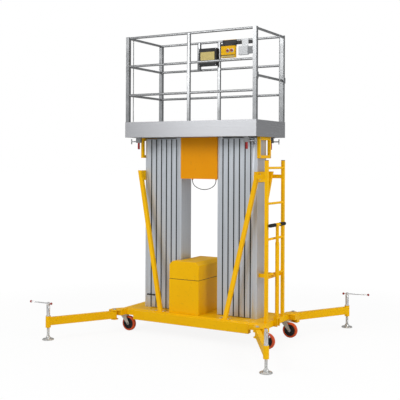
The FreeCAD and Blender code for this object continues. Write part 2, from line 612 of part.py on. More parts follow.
def power_pack():
    # The cabinet stands between the masts, with a wing in front of the left one.
    notch = f"(cabinet_clearance - {section_faces(SECTIONS)[1]})"
    left = f"({notch} - cabinet_wing)"
    front = f"-{FOOT_Y}"
    plan = ((left, front), ("cabinet_right", front), ("cabinet_right", "cabinet_back"),
            (notch, "cabinet_back"), (notch, "cabinet_recess_y"), (left, "cabinet_recess_y"))
    lip = 4
    inset = ((f"{left} + {lip}", f"{front} + {lip}"), (f"cabinet_right - {lip}", f"{front} + {lip}"),
             (f"cabinet_right - {lip}", f"cabinet_back - {lip}"),
             (f"{notch} + {lip}", f"cabinet_back - {lip}"),
             (f"{notch} + {lip}", f"cabinet_recess_y - {lip}"),
             (f"{left} + {lip}", f"cabinet_recess_y - {lip}"))
    body = doc.addObject("PartDesign::Body", "CabinetBody")
    pad(body, "CabinetWalls", outline(body, "CabinetPlan", "XY_Plane", plan), "cabinet_height")
    neck = pad(body, "CabinetNeck", outline(body, "CabinetInset", "XY_Plane", inset),
               "cabinet_height + lid_gap")
    keep("power_cabinet", place(body, "0", "0", "beam_top + floor_thickness"))
    body.Tip = neck
    profile = ((left, "0"), ("cabinet_right", "0"),
               ("cabinet_right", "lid_height - lid_bevel"),
               ("cabinet_right - lid_bevel", "lid_height"),
               (f"{left} + lid_bevel", "lid_height"),
               (left, "lid_height - lid_bevel"))
    lid = doc.addObject("PartDesign::Body", "LidBody")
    pad(lid, "LidLength", outline(lid, "LidProfile", "XZ_Plane", profile),
        f"cabinet_back + {FOOT_Y}")
    base = "beam_top + floor_thickness + cabinet_height + lid_gap"
    place(lid, "0", "cabinet_back", base)
    recess = block("LidRecess", (f"{left} - 1", "cabinet_recess_y", f"{base} - 1"),
                   ("cabinet_wing + 1", "cabinet_back - cabinet_recess_y + 1", "lid_height + 2"))
    keep("power_cabinet_lid", cut("CabinetLid", lid, recess))


def platform():
    inner_x = f"({DECK_X} - fascia_thickness)"
    inner_y = "(deck_half_depth - fascia_thickness)"
    outer = block("FasciaOuter", (f"-{DECK_X}", "-deck_half_depth", "deck_bottom"),
                  (f"2 * {DECK_X}", "2 * deck_half_depth", "fascia_height"))
    hollow = block("FasciaInner", (f"-{inner_x}", f"-{inner_y}", "deck_bottom - 1"),
                   (f"2 * {inner_x}", f"2 * {inner_y}", "fascia_height + 2"))
    keep("deck_fascia", cut("Fascia", outer, hollow))
    tubes = []
    for name, sign in (("front", "-1"), ("back", "1")):
        own_width = f"({sign} + 1) / 2 * deck_frame_width"
        tubes.append(block(f"DeckTube_{name}",
                           (f"-{inner_x}", f"{sign} * {inner_y} - {own_width}", "deck_bottom"),
                           (f"2 * {inner_x}", "deck_frame_width", "deck_frame_height")))
        tubes.append(block(f"DeckEnd_{name}",
                           (f"{sign} * {inner_x} - {own_width}", f"-{inner_y}", "deck_bottom"),
                           ("deck_frame_width", f"2 * {inner_y}", "deck_frame_height")))
    outboard, inboard = section_faces(SECTIONS)
    for name, side in SIDES:
        low = inboard if side > 0 else f"-{outboard}"
        tubes.append(block(f"DeckCross_{name}", (low, f"-{inner_y}", "deck_bottom"),
                           ("section_pitch - section_gap", f"2 * {inner_y}", "deck_frame_height")))
    for name, sign in (("front", "-1"), ("back", "1")):
        runner_y = f"{sign} * bracket_half_depth - ({sign} + 1) / 2 * bracket_bar"
        tubes.append(block(f"DeckRunner_{name}", (f"-{inner_x}", runner_y, "deck_bottom"),
                           (f"2 * {inner_x}", "bracket_bar", "deck_frame_height")))
    plate = block("DeckPlate", (f"-{inner_x}", f"-{inner_y}", "deck_bottom + deck_frame_height"),
                  (f"2 * {inner_x}", f"2 * {inner_y}", "deck_plate_thickness"))
    notches = []
    for name, sign in (("front", "-1"), ("back", "1")):
        for place_name, low, width in (("left", f"-{inner_x}", "corner_post"),
                                       ("middle", "-mid_post / 2", "mid_post"),
                                       ("right", f"{inner_x} - corner_post", "corner_post")):
            y = f"{sign} * {inner_y} - ({sign} + 1) / 2 * (corner_post / 2 + {width} / 2)"
            notches.append(block(f"PostNotch_{name}_{place_name}",
                                 (low, y, "deck_bottom + deck_frame_height - 1"),
                                 (width, f"corner_post / 2 + {width} / 2",
                                  "deck_plate_thickness + 2")))
    tubes.append(cut("DeckPlateNotched", plate, join("PostNotches", notches)))
    keep("deck", join("Deck", tubes))
    shell = block("CarriageShell", (f"-{inboard}", "-carriage_half_depth", "carriage_bottom"),
                  (f"2 * {inboard}", "2 * carriage_half_depth", "deck_bottom - carriage_bottom"))
    room = block("CarriageRoom", (f"-({inboard} - carriage_wall)",
                                  "-(carriage_half_depth - carriage_wall)",
                                  "carriage_bottom + carriage_wall"),
                 (f"2 * ({inboard} - carriage_wall)", "2 * (carriage_half_depth - carriage_wall)",
                  "deck_bottom - carriage_bottom"))
    glands = [rod(f"CableGland_{name}", "gland_radius", "gland_height",
                  (signed(f"({inboard} * cable_share)", side), "0",
                   "carriage_bottom - gland_height"))
              for name, side in SIDES]
    keep("lift_carriage", join("LiftCarriage", [cut("CarriageBox", shell, room)] + glands))
    carriage_cable()
    brackets = []
    for name, side in SIDES:
        out = f"{MAST_OUTER} + bracket_out"
        x = out if side > 0 else f"-({out}) - bracket_thickness"
        frame = block(f"BracketOuter_{name}", (x, "-bracket_half_depth", "bracket_bottom"),
                      ("bracket_thickness", "2 * bracket_half_depth",
                       "deck_bottom - bracket_bottom"))
        window = block(f"BracketWindow_{name}",
                       (f"{x} - 1", "-bracket_half_depth + bracket_bar",
                        "bracket_bottom + bracket_bar"),
                       ("bracket_thickness + 2", "2 * (bracket_half_depth - bracket_bar)",
                        "deck_bottom - bracket_bottom - 2 * bracket_bar"))
        brackets.append(cut(f"Bracket_{name}", frame, window))
    for name, side_x, side_y, _ in CORNERS:
        brackets.append(deck_clamp(name, side_x, side_y))
    keep("deck_brackets", join("DeckBrackets", brackets))


def carriage_cable():
    # Slack loop between the two glands: straight runs joined by arcs as large as the runs allow.
    half_span = value(f"{section_faces(SECTIONS)[1]} * cable_share")
    start = Vector(-half_span, 0, value("carriage_bottom - gland_height"))
    points = [start + Vector(2 * half_span * x, 0, z) for x, z in CABLE_ROUTE]
    edges = []
    reached = points[0]
    for before, corner, after in zip(points, points[1:], points[2:]):
        inward = (corner - before).normalize()
        outward = (after - corner).normalize()
        half_turn = inward.getAngle(outward) / 2
        setback = 0.45 * min(corner.distanceToPoint(before), corner.distanceToPoint(after))
        radius = setback / math.tan(half_turn)
        arc_start = corner - inward * setback
        arc_end = corner + outward * setback
        bulge = (outward - inward).normalize()
        arc_middle = corner + bulge * (radius / math.cos(half_turn) - radius)
        edges.append(Part.makeLine(reached, arc_start))
        edges.append(Part.Arc(arc_start, arc_middle, arc_end).toShape())
        reached = arc_end
        print(f"cable bend radius {radius:.0f}")
    edges.append(Part.makeLine(reached, points[-1]))
    path = Part.Wire(edges)
    radius = value("cable_diameter / 2")
    section = Part.Wire(Part.makeCircle(radius, points[0], Vector(0, 0, 1)))
    cable = doc.addObject("Part::Feature", "CarriageCable")
    cable.Shape = path.makePipeShell([section], True, False)
    print(f"cable length {path.Length:.0f}, volume over section times length "
          f"{cable.Shape.Volume / (math.pi * radius ** 2 * path.Length):.3f}")
    keep("carriage_cable", cable)


def deck_clamp(name, side_x, side_y):
    # Screw clamp under the deck's edge: foot on the tube, body, spindle with a tee, and lever.
    head = f"({DECK_X} - clamp_inset)"
    body_x = f"({head} - clamp_rod_length - clamp_body_length)"
    low_x = body_x if side_x > 0 else f"-{body_x} - clamp_body_length"
    y = signed("clamp_y", side_y)
    z = "deck_bottom - clamp_drop"
    lever_x = signed(f"({body_x} + clamp_body_length / 2)", side_x)
    foot_y = "clamp_y - clamp_body_width / 2" if side_y > 0 else \
        "-clamp_y + clamp_body_width / 2 - 2.5 * clamp_body_width"
    rod_x = f"{body_x} + clamp_body_length" if side_x > 0 else f"-{head}"
    return join(f"DeckClamp_{name}", [
        block(f"ClampFoot_{name}", (low_x, foot_y, "deck_bottom - 6"),
              ("clamp_body_length", "2.5 * clamp_body_width", "6")),
        block(f"ClampBody_{name}", (low_x, f"{y} - clamp_body_width / 2", f"{z} - 14"),
              ("clamp_body_length", "clamp_body_width", "clamp_drop + 14")),
        rod(f"ClampSpindle_{name}", "clamp_rod_radius", "clamp_rod_length", (rod_x, y, z),
            axis="x"),
        rod(f"ClampTee_{name}", "clamp_rod_radius", "clamp_head_height",
            (signed(head, side_x), y, f"{z} - clamp_head_height / 2")),
        rod(f"ClampGrip_{name}", "clamp_grip_radius", "clamp_grip_height",
            (lever_x, y, f"{z} - 14 - clamp_grip_height")),
    ])


def guard_rails():
    floor = "(deck_bottom + deck_frame_height)"
    top = "(deck_bottom + guard_height)"
    post_x = f"({DECK_X} - fascia_thickness - corner_post / 2)"
    post_y = "(deck_half_depth - fascia_thickness - corner_post / 2)"
    levels = (("top", f"{top} - rail_radius"), ("upper", "deck_bottom + upper_rail"),
              ("lower", "deck_bottom + lower_rail"))
    stop_low = "deck_bottom + entry_rail - entry_sleeve_height / 2 - 12.3"
    for name, sign in (("front", "-1"), ("back", "1")):
        y = f"{sign} * {post_y}"
        pieces = []
        for end, end_sign in (("left", "-1"), ("right", "1")):
            pieces.append(block(f"Post_{name}_{end}",
                                (f"{end_sign} * {post_x} - corner_post / 2",
                                 f"{y} - corner_post / 2", floor),
                                ("corner_post", "corner_post", f"{top} - {floor}")))
        pieces.append(block(f"Post_{name}_middle", ("-mid_post / 2", f"{y} - mid_post / 2", floor),
                            ("mid_post", "mid_post", f"{top} - rail_radius - {floor}")))
        for level, z in levels:
            pieces.append(rod(f"Rail_{name}_{level}", "rail_radius", f"2 * {post_x}",
                              (f"-{post_x}", y, z), axis="x"))
        lug_y = f"({sign} + 1) / 2 * (corner_post / 2 + 8) + ({sign} - 1) / 2 * (corner_post / 2)"
        pieces.append(block(f"Stop_{name}",
                            (f"{post_x} + corner_post / 2 - 12", f"{y} - ({lug_y})", stop_low),
                            ("12", "8", "12")))
        if name == "back":
            pieces.append(block("ControlUpright",
                                (f"{CONTROLS[0][1]} - upright_width",
                                 f"{post_y} - rail_radius - strap_thickness - upright_lap",
                                 levels[1][1]),
                                ("upright_width", "rail_radius + strap_thickness + upright_lap",
                                 f"{levels[0][1]} - ({levels[1][1]})")))
        keep(f"guard_rail_{name}", join(f"GuardRail_{name}", pieces))
    ends = []
    for name, side in SIDES:
        x = post_x if side > 0 else f"-{post_x}"
        for level, z in levels if side < 0 else levels[:1]:
            ends.append(rod(f"EndRail_{name}_{level}", "rail_radius",
                            f"2 * {post_y} - corner_post",
                            (x, f"-{post_y} + corner_post / 2", z), axis="y"))
        # A thin rod stands on the fascia and is held at the top rail.
        rod_x = signed(DECK_X, side)
        rod_y = signed("end_rod_y", side)
        fascia_top = "(deck_bottom + fascia_height)"
        ends.append(rod(f"EndRod_{name}", "end_rod_radius", f"{levels[0][1]} - {fascia_top}",
                        (rod_x, rod_y, fascia_top)))
        ends.append(rod(f"EndRodArm_{name}", "end_rod_radius", f"{DECK_X} - {post_x}",
                        (post_x if side > 0 else f"-{DECK_X}", rod_y, levels[0][1]), axis="x"))
    keep("guard_rail_ends", join("GuardRailEnds", ends))
    entry_bar(post_x, post_y)


def entry_bar(post_x, post_y):
    # Bar across the entry; an open guide at each end slides on the corner post.
    z = "deck_bottom + entry_rail"
    inside = "corner_post / 2 + entry_clearance"
    outside = f"({inside} + entry_sleeve_wall)"
    pieces = [rod("EntryRail", "rail_radius", f"2 * ({post_y} - {outside}) + 2",
                  (post_x, f"-({post_y} - {outside}) - 1", z), axis="y")]
    for name, sign in (("front", "-1"), ("back", "1")):
        y = f"{sign} * {post_y}"
        shell = block(f"GuideShell_{name}",
                      (f"{post_x} - corner_post / 2 + 4", f"{y} - {outside}",
                       f"{z} - entry_sleeve_height / 2"),
                      (f"corner_post / 2 - 4 + {outside}", f"2 * {outside}",
                       "entry_sleeve_height"))
        room = block(f"GuideRoom_{name}",
                     (f"{post_x} - corner_post", f"{y} - ({inside})",
                      f"{z} - entry_sleeve_height / 2 - 1"),
                     (f"corner_post + {inside}", f"2 * ({inside})", "entry_sleeve_height + 2"))
        pieces.append(cut(f"Guide_{name}", shell, room))
    keep("entry_bar", join("EntryBar", pieces))


def controls():
    # Boxes on the inside of the back guard rail. One is fixed to an upright there; the others
    # hang on straps that hook on the top rail.
    rail_face = "(deck_half_depth - fascia_thickness - corner_post / 2 - rail_radius - 0.3)"
    box_back = f"({rail_face} - strap_thickness)"
    for label, low_x, high_x, low_z, high_z, strap in CONTROLS:
        name = label.title().replace("_", "")
        pieces = [block(f"{name}Case", (f"{low_x}", f"{box_back} - panel_depth",
                                        f"deck_bottom + {low_z}"),
                        (f"{high_x - low_x}", "panel_depth", f"{high_z - low_z}"))]
        if strap:
            pieces.append(block(f"{name}Strap", (f"{strap[0]}", box_back,
                                                 f"deck_bottom + {high_z} - strap_lap"),
                                (f"{strap[1] - strap[0]}", "strap_thickness",
                                 f"guard_height - {high_z} + strap_lap")))
        else:
            # The cable duct runs under the top rail, behind the straps, to the corner post.
            pieces.append(block(f"{name}Duct", (f"{CONTROLS[1][1]}", rail_face,
                                                "deck_bottom + guard_height - 2 * rail_radius"
                                                " - duct_height - 2"),
                                (f"{DECK_X} - fascia_thickness - corner_post - {CONTROLS[1][1]}",
                                 "duct_depth", "duct_height")))
        keep(label, join(name, pieces))


def write_parts():
    doc.recompute()
    for item in doc.Objects:
        if "Invalid" in item.State or "Error" in item.State:
            raise RuntimeError(f"{item.Name} is {item.State}")
    os.makedirs("parts", exist_ok=True)
    triangles = 0
    for item in sub_parts:
        shape = item.Shape
        if shape.isNull() or not shape.isValid() or not shape.Solids:
            raise RuntimeError(f"{item.Label} has no valid solid")
        shape.exportStep(f"parts/{item.Label}.step")
        count = len(shape.tessellate(1.0)[1])
        triangles += count
        box = shape.BoundBox
        print(f"{item.Label}: {len(shape.Solids)} solid, {count} tri, {shape.Volume / 1e6:.3f} l, "
              f"x {box.XMin:.1f} {box.XMax:.1f}, y {box.YMin:.1f} {box.YMax:.1f}, "
              f"z {box.ZMin:.1f} {box.ZMax:.1f}")
    print(len(sub_parts), "sub-parts,", triangles, "triangles")


chassis()
castors()
outriggers()
masts()
collars_and_braces()
ladder()
tow_handle()
power_pack()
platform()
guard_rails()
controls()
write_parts()
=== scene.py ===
import json
import math

import bmesh
import bpy
from mathutils import Matrix, Vector


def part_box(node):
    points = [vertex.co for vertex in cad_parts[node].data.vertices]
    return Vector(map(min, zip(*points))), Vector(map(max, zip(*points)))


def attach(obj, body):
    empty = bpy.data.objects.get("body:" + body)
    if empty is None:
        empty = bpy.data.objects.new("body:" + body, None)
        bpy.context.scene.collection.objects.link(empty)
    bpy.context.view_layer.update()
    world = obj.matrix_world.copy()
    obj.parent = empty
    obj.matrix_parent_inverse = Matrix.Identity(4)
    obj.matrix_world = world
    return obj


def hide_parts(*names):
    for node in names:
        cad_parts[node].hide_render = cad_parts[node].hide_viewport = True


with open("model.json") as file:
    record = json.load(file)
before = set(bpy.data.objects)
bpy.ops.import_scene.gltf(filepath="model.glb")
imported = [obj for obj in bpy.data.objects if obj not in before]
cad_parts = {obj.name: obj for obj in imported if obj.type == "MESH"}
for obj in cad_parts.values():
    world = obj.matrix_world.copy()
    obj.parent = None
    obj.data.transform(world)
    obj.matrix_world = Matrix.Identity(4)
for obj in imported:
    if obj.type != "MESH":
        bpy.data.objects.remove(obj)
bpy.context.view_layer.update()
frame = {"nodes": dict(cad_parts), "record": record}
scene = bpy.context.scene

# Camera. It stands at the photograph's place, level, a little over head height, and looks at the
# lift from the front right; the view is lowered by a lens shift so that uprights stay upright.
IMAGE_SIZE = 400
VIEW_TURN = math.radians(29.602)
VIEW_ROLL = math.radians(0.259)
VIEW_DISTANCE = 8.381
VIEW_OFFSET = -0.046
VIEW_HEIGHT = 1.885
FOCAL_PIXELS = 771.1
HORIZON_PIXEL = 159.7
SENSOR_WIDTH = 36

camera_data = bpy.data.cameras.new("photo_camera")
camera_data.sensor_width = SENSOR_WIDTH
camera_data.lens = SENSOR_WIDTH * FOCAL_PIXELS / IMAGE_SIZE
camera_data.shift_y = (HORIZON_PIXEL - IMAGE_SIZE / 2) / IMAGE_SIZE
camera_data.clip_end = 200
camera = bpy.data.objects.new("photo_camera", camera_data)
scene.collection.objects.link(camera)
camera.matrix_world = (
    Matrix.Translation((
        VIEW_OFFSET * math.cos(VIEW_TURN) + VIEW_DISTANCE * math.sin(VIEW_TURN),
        VIEW_OFFSET * math.sin(VIEW_TURN) - VIEW_DISTANCE * math.cos(VIEW_TURN),
        VIEW_HEIGHT))
    @ Matrix.Rotation(VIEW_TURN, 4, "Z") @ Matrix.Rotation(math.pi / 2, 4, "X")
    @ Matrix.Rotation(VIEW_ROLL, 4, "Z"))
scene.camera = camera
scene.view_settings.view_transform = "Standard"

# Studio. The photograph has a plain white surround. The floor shows the camera nearly pure white
# with a trace of contact shadow, and throws a softer grey back at the machine. Polished metal
# sees a dim room with one soft bright panel at the front left, which makes the fascia's sheen.
FLOOR_HALF = 60
FADE_START = 2.0
FADE_END = 6.0
NEAR_SHARE = 0.86
FLOOR_GLOW = 1.04
FLOOR_GREY = (0.62, 0.62, 0.62, 1)
SURROUND_LIGHT = 0.62
ROOM_LIGHT = 0.28
ROOM_TINT = (0.96, 0.98, 1, 1)
PANEL_LIGHT = 1.9
PANEL_DIRECTION = (-0.46, -0.885, 0.05)
# cosines of the angles off that direction where the panel begins and where it is full
PANEL_RIM = 0.990
PANEL_FULL = 0.999


def wire(tree, source, target):
    tree.links.new(source, target)


def shader_node(tree, kind, **values):
    # One node with its named inputs set.
    node = tree.nodes.new(kind)
    for label, number in values.items():
        node.inputs[label.replace("_", " ")].default_value = number
    return node


def math_node(tree, operation, second=None):
    # A Math node; second is its second value where nothing is linked to it.
    node = tree.nodes.new("ShaderNodeMath")
    node.operation = operation
    if second is not None:
        node.inputs[1].default_value = second
    return node


floor_material = bpy.data.materials.new("studio_floor")
floor_material.use_nodes = True
tree = floor_material.node_tree
tree.nodes.clear()
place_node = tree.nodes.new("ShaderNodeTexCoord")
distance_node = tree.nodes.new("ShaderNodeVectorMath")
distance_node.operation = "LENGTH"
fade_node = shader_node(tree, "ShaderNodeMapRange", From_Min=FADE_START, From_Max=FADE_END,
                        To_Min=NEAR_SHARE, To_Max=1.0)
fade_node.interpolation_type = "SMOOTHSTEP"
ray_node = tree.nodes.new("ShaderNodeLightPath")
share_node = math_node(tree, "MULTIPLY")
matte_node = shader_node(tree, "ShaderNodeBsdfDiffuse", Color=FLOOR_GREY)
white_node = shader_node(tree, "ShaderNodeEmission", Color=(1, 1, 1, 1), Strength=FLOOR_GLOW)
mix_node = tree.nodes.new("ShaderNodeMixShader")
out_node = tree.nodes.new("ShaderNodeOutputMaterial")
wire(tree, place_node.outputs["Object"], distance_node.inputs[0])
wire(tree, distance_node.outputs["Value"], fade_node.inputs["Value"])
wire(tree, fade_node.outputs["Result"], share_node.inputs[0])
wire(tree, ray_node.outputs["Is Camera Ray"], share_node.inputs[1])
wire(tree, share_node.outputs["Value"], mix_node.inputs["Fac"])
wire(tree, matte_node.outputs["BSDF"], mix_node.inputs[1])
wire(tree, white_node.outputs["Emission"], mix_node.inputs[2])
wire(tree, mix_node.outputs["Shader"], out_node.inputs["Surface"])
floor_mesh = bpy.data.meshes.new("studio_floor")
floor_mesh.from_pydata([(-FLOOR_HALF, -FLOOR_HALF, 0), (FLOOR_HALF, -FLOOR_HALF, 0),
                        (FLOOR_HALF, FLOOR_HALF, 0), (-FLOOR_HALF, FLOOR_HALF, 0)],
                       [], [(0, 1, 2, 3)])
floor_mesh.materials.append(floor_material)
floor = bpy.data.objects.new("studio_floor", floor_mesh)
scene.collection.objects.link(floor)

world = bpy.data.worlds.new("studio")
scene.world = world
world.use_nodes = True
tree = world.node_tree
tree.nodes.clear()
ray_node = tree.nodes.new("ShaderNodeLightPath")
soft_node = shader_node(tree, "ShaderNodeBackground", Color=(1, 1, 1, 1), Strength=SURROUND_LIGHT)
dim_node = shader_node(tree, "ShaderNodeBackground", Color=ROOM_TINT)
seen_node = shader_node(tree, "ShaderNodeBackground", Color=(1, 1, 1, 1), Strength=1.0)
view_node = tree.nodes.new("ShaderNodeTexCoord")
toward_node = tree.nodes.new("ShaderNodeVectorMath")
toward_node.operation = "DOT_PRODUCT"
toward_node.inputs[1].default_value = Vector(PANEL_DIRECTION).normalized()
panel_node = shader_node(tree, "ShaderNodeMapRange", From_Min=PANEL_RIM, From_Max=PANEL_FULL,
                         To_Min=ROOM_LIGHT, To_Max=PANEL_LIGHT)
panel_node.interpolation_type = "SMOOTHSTEP"
glossy_node = tree.nodes.new("ShaderNodeMixShader")
mix_node = tree.nodes.new("ShaderNodeMixShader")
out_node = tree.nodes.new("ShaderNodeOutputWorld")
wire(tree, view_node.outputs["Generated"], toward_node.inputs[0])
wire(tree, toward_node.outputs["Value"], panel_node.inputs["Value"])
wire(tree, panel_node.outputs["Result"], dim_node.inputs["Strength"])
wire(tree, ray_node.outputs["Is Glossy Ray"], glossy_node.inputs["Fac"])
wire(tree, soft_node.outputs["Background"], glossy_node.inputs[1])
wire(tree, dim_node.outputs["Background"], glossy_node.inputs[2])
wire(tree, ray_node.outputs["Is Camera Ray"], mix_node.inputs["Fac"])
wire(tree, glossy_node.outputs["Shader"], mix_node.inputs[1])
wire(tree, seen_node.outputs["Background"], mix_node.inputs[2])
wire(tree, mix_node.outputs["Shader"], out_node.inputs["Surface"])

# name, place, watts, size in metres
LAMPS = (("key", (-2.6, -6.5, 5.6), 222, 3.5), ("side", (6.5, -1.5, 3.6), 158, 3.0),
         ("top", (0.5, 0.5, 7.5), 110, 4.0))
LAMP_TARGET = Vector((0, 0, 1.5))
for name, at, watts, size in LAMPS:
    lamp_data = bpy.data.lights.new(f"lamp_{name}", "AREA")
    lamp_data.energy = watts
    lamp_data.size = size
    lamp = bpy.data.objects.new(f"lamp_{name}", lamp_data)
    aim = LAMP_TARGET - Vector(at)
    lamp.matrix_world = Matrix.Translation(at) @ aim.to_track_quat("-Z", "Y").to_matrix().to_4x4()
    scene.collection.objects.link(lamp)

# Finishes that more than one part shares. The group gives slow variation for colour and gloss, a
# fine bump and rubbed patches; each material sets its own scale and strength, and reads object
# coordinates.
GRIME = (0.05, 0.045, 0.04, 1)


def linear(colour):
    # A colour picked as it looks on screen, as the light value that the shader wants.
    return tuple(c / 12.92 if c <= 0.04045 else ((c + 0.055) / 1.055) ** 2.4 for c in colour) + (1,)


def new_group(name, inputs, outputs):
    group = bpy.data.node_groups.new(name, "ShaderNodeTree")
    for label, kind, default in inputs:
        socket = group.interface.new_socket(label, in_out="INPUT", socket_type=kind)
        socket.default_value = default
    for label, kind in outputs:
        group.interface.new_socket(label, in_out="OUTPUT", socket_type=kind)
    return group, group.nodes.new("NodeGroupInput"), group.nodes.new("NodeGroupOutput")


finish_group, given, result = new_group(
    "finish_variation",
    (("Stretch", "NodeSocketVector", (1, 1, 1)), ("Scale", "NodeSocketFloat", 8.0),
     ("Low", "NodeSocketFloat", 0.3), ("High", "NodeSocketFloat", 0.5),
     ("Fine Scale", "NodeSocketFloat", 400.0)),
    (("Slow", "NodeSocketFloat"), ("Roughness", "NodeSocketFloat"), ("Height", "NodeSocketFloat"),
     ("Wear", "NodeSocketFloat")))
where = finish_group.nodes.new("ShaderNodeTexCoord")
stretched = finish_group.nodes.new("ShaderNodeVectorMath")
stretched.operation = "MULTIPLY"
slow = shader_node(finish_group, "ShaderNodeTexNoise", Detail=4.0)
fine = shader_node(finish_group, "ShaderNodeTexNoise", Detail=2.0)
spread = shader_node(finish_group, "ShaderNodeMapRange", From_Min=0.3, From_Max=0.7)
rubbed = shader_node(finish_group, "ShaderNodeTexNoise", Scale=38.0, Detail=6.0)
worn = shader_node(finish_group, "ShaderNodeMapRange", From_Min=0.60, From_Max=0.72)
wire(finish_group, where.outputs["Object"], stretched.inputs[0])
wire(finish_group, given.outputs["Stretch"], stretched.inputs[1])
wire(finish_group, stretched.outputs["Vector"], slow.inputs["Vector"])
wire(finish_group, stretched.outputs["Vector"], fine.inputs["Vector"])
wire(finish_group, given.outputs["Scale"], slow.inputs["Scale"])
wire(finish_group, given.outputs["Fine Scale"], fine.inputs["Scale"])
wire(finish_group, slow.outputs["Fac"], spread.inputs["Value"])
wire(finish_group, given.outputs["Low"], spread.inputs["To Min"])
wire(finish_group, given.outputs["High"], spread.inputs["To Max"])
wire(finish_group, slow.outputs["Fac"], result.inputs["Slow"])
wire(finish_group, spread.outputs["Result"], result.inputs["Roughness"])
wire(finish_group, fine.outputs["Fac"], result.inputs["Height"])
wire(finish_group, where.outputs["Object"], rubbed.inputs["Vector"])
wire(finish_group, rubbed.outputs["Fac"], worn.inputs["Value"])
wire(finish_group, worn.outputs["Result"], result.inputs["Wear"])


def finish(name, dark, light, metallic, roughness, scale=6.0, stretch=(1, 1, 1), fine_scale=400.0,
           bump=0.1, bump_depth=0.0004, specular=0.5, grime=0.12):
    # One finish: colour wanders between two shades, gloss wanders between two roughness values.
    # Grime is how much of its colour the rubbed patches take.
    material = bpy.data.materials.new(name)
    material.use_nodes = True
    nodes = material.node_tree.nodes
    shader = nodes["Principled BSDF"]
    shader.inputs["Metallic"].default_value = metallic
    shader.inputs["Specular IOR Level"].default_value = specular
    group = nodes.new("ShaderNodeGroup")
    group.node_tree = finish_group
    for label, number in (("Stretch", stretch), ("Scale", scale), ("Low", roughness[0]),
                          ("High", roughness[1]), ("Fine Scale", fine_scale)):
        group.inputs[label].default_value = number
    shade = nodes.new("ShaderNodeMix")
    shade.data_type = "RGBA"
    shade.inputs["A"].default_value = linear(dark)
    shade.inputs["B"].default_value = linear(light)
    soiled = nodes.new("ShaderNodeMix")
    soiled.data_type = "RGBA"
    soiled.inputs["B"].default_value = GRIME
    tree = material.node_tree
    amount = math_node(tree, "MULTIPLY", grime)
    relief = shader_node(tree, "ShaderNodeBump", Strength=bump, Distance=bump_depth)
    wire(tree, group.outputs["Slow"], shade.inputs["Factor"])
    wire(tree, group.outputs["Wear"], amount.inputs[0])
    wire(tree, amount.outputs["Value"], soiled.inputs["Factor"])
    wire(tree, shade.outputs["Result"], soiled.inputs["A"])
    wire(tree, soiled.outputs["Result"], shader.inputs["Base Color"])
    wire(tree, group.outputs["Roughness"], shader.inputs["Roughness"])
    wire(tree, group.outputs["Height"], relief.inputs["Height"])
    wire(tree, relief.outputs["Normal"], shader.inputs["Normal"])
    return material


# Chassis. Welded box beams under a steel floor, powder coated in warm yellow with the slight
# orange peel of thick paint; galvanised plates for the castors are bolted below its corners.
yellow_paint = finish("yellow_paint", (0.93, 0.69, 0.0), (0.96, 0.75, 0.0), 0.0, (0.32, 0.48),
                      scale=3.0, fine_scale=260.0, bump=0.25, bump_depth=0.0003, specular=0.12)
galvanised = finish("galvanised", (0.74, 0.74, 0.71), (0.86, 0.86, 0.83), 0.75, (0.34, 0.55),
                    scale=45.0, fine_scale=300.0, bump=0.12)
body_of_node = {node: body for body, nodes in frame["record"]["behaviour"]["bodies"].items()
                for node in nodes}
SMOOTH_ANGLE = math.radians(35)
BEVEL_ANGLE = math.radians(40)
FLAT_ANGLE = math.radians(1)
MERGE_DISTANCE = 1e-5


def settle(piece, body, stands_for=()):
    # Shades the piece by its edges, rides it on its body and hides the construction's parts that it
    # stands for.
    piece.data.shade_smooth()
    piece.data.set_sharp_from_angle(angle=SMOOTH_ANGLE)
    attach(piece, body)
    if stands_for:
        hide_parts(*stands_for)
    return piece


def round_edges(piece, width, segments=2):
    bevel = piece.modifiers.new("round_edges", "BEVEL")
    bevel.width = width
    bevel.segments = segments
    bevel.limit_method = "ANGLE"
    bevel.angle_limit = BEVEL_ANGLE
    bevel.use_clamp_overlap = True


def dressed(node, material, edge=0.0015, part="finished", wanted=None):
    # The construction's own shape, merged, with its sheet-metal or tube edges rounded. Where a
    # node holds separate solids of two finishes, wanted picks the faces of one of them.
    source = frame["nodes"][node]
    mesh = source.data.copy()
    mesh.transform(source.matrix_world)
    mesh.materials.clear()
    mesh.materials.append(material)
    work = bmesh.new()
    work.from_mesh(mesh)
    bmesh.ops.remove_doubles(work, verts=work.verts, dist=MERGE_DISTANCE)
    if wanted:
        others = [face for face in work.faces if not wanted(face.calc_center_median())]
        bmesh.ops.delete(work, geom=others, context="FACES")
    bmesh.ops.dissolve_limit(work, angle_limit=FLAT_ANGLE, verts=work.verts, edges=work.edges)
    work.to_mesh(mesh)
    work.free()
    piece = bpy.data.objects.new(f"{node}_{part}", mesh)
    scene.collection.objects.link(piece)
    settle(piece, body_of_node[node], (node,))
    round_edges(piece, edge)
    return piece


AXIS_TURN = {"z": Matrix.Identity(4), "x": Matrix.Rotation(math.pi / 2, 4, "Y"),
             "y": Matrix.Rotation(-math.pi / 2, 4, "X"), "-y": Matrix.Rotation(math.pi / 2, 4, "X")}


def add_turned(work, profile, at, axis="z", sides=32):
    # A closed shape turned from (radius, height) pairs; the first and last radius are zero, or
    # the profile closes on itself and leaves a bore.
    place = Matrix.Translation(at) @ AXIS_TURN[axis]
    rings = []
    for radius, height in profile:
        if radius == 0:
            rings.append([work.verts.new(place @ Vector((0, 0, height)))])
            continue
        rings.append([work.verts.new(place @ Vector((radius * math.cos(a), radius * math.sin(a), height)))
                      for a in (2 * math.pi * i / sides for i in range(sides))])
    if profile[0][0]:
        rings.append(rings[0])
    for low, high in zip(rings, rings[1:]):
        for i in range(sides):
            j = (i + 1) % sides
            corners = [low[i % len(low)], low[j % len(low)], high[j % len(high)], high[i % len(high)]]
            work.faces.new([v for k, v in enumerate(corners) if v not in corners[:k]])


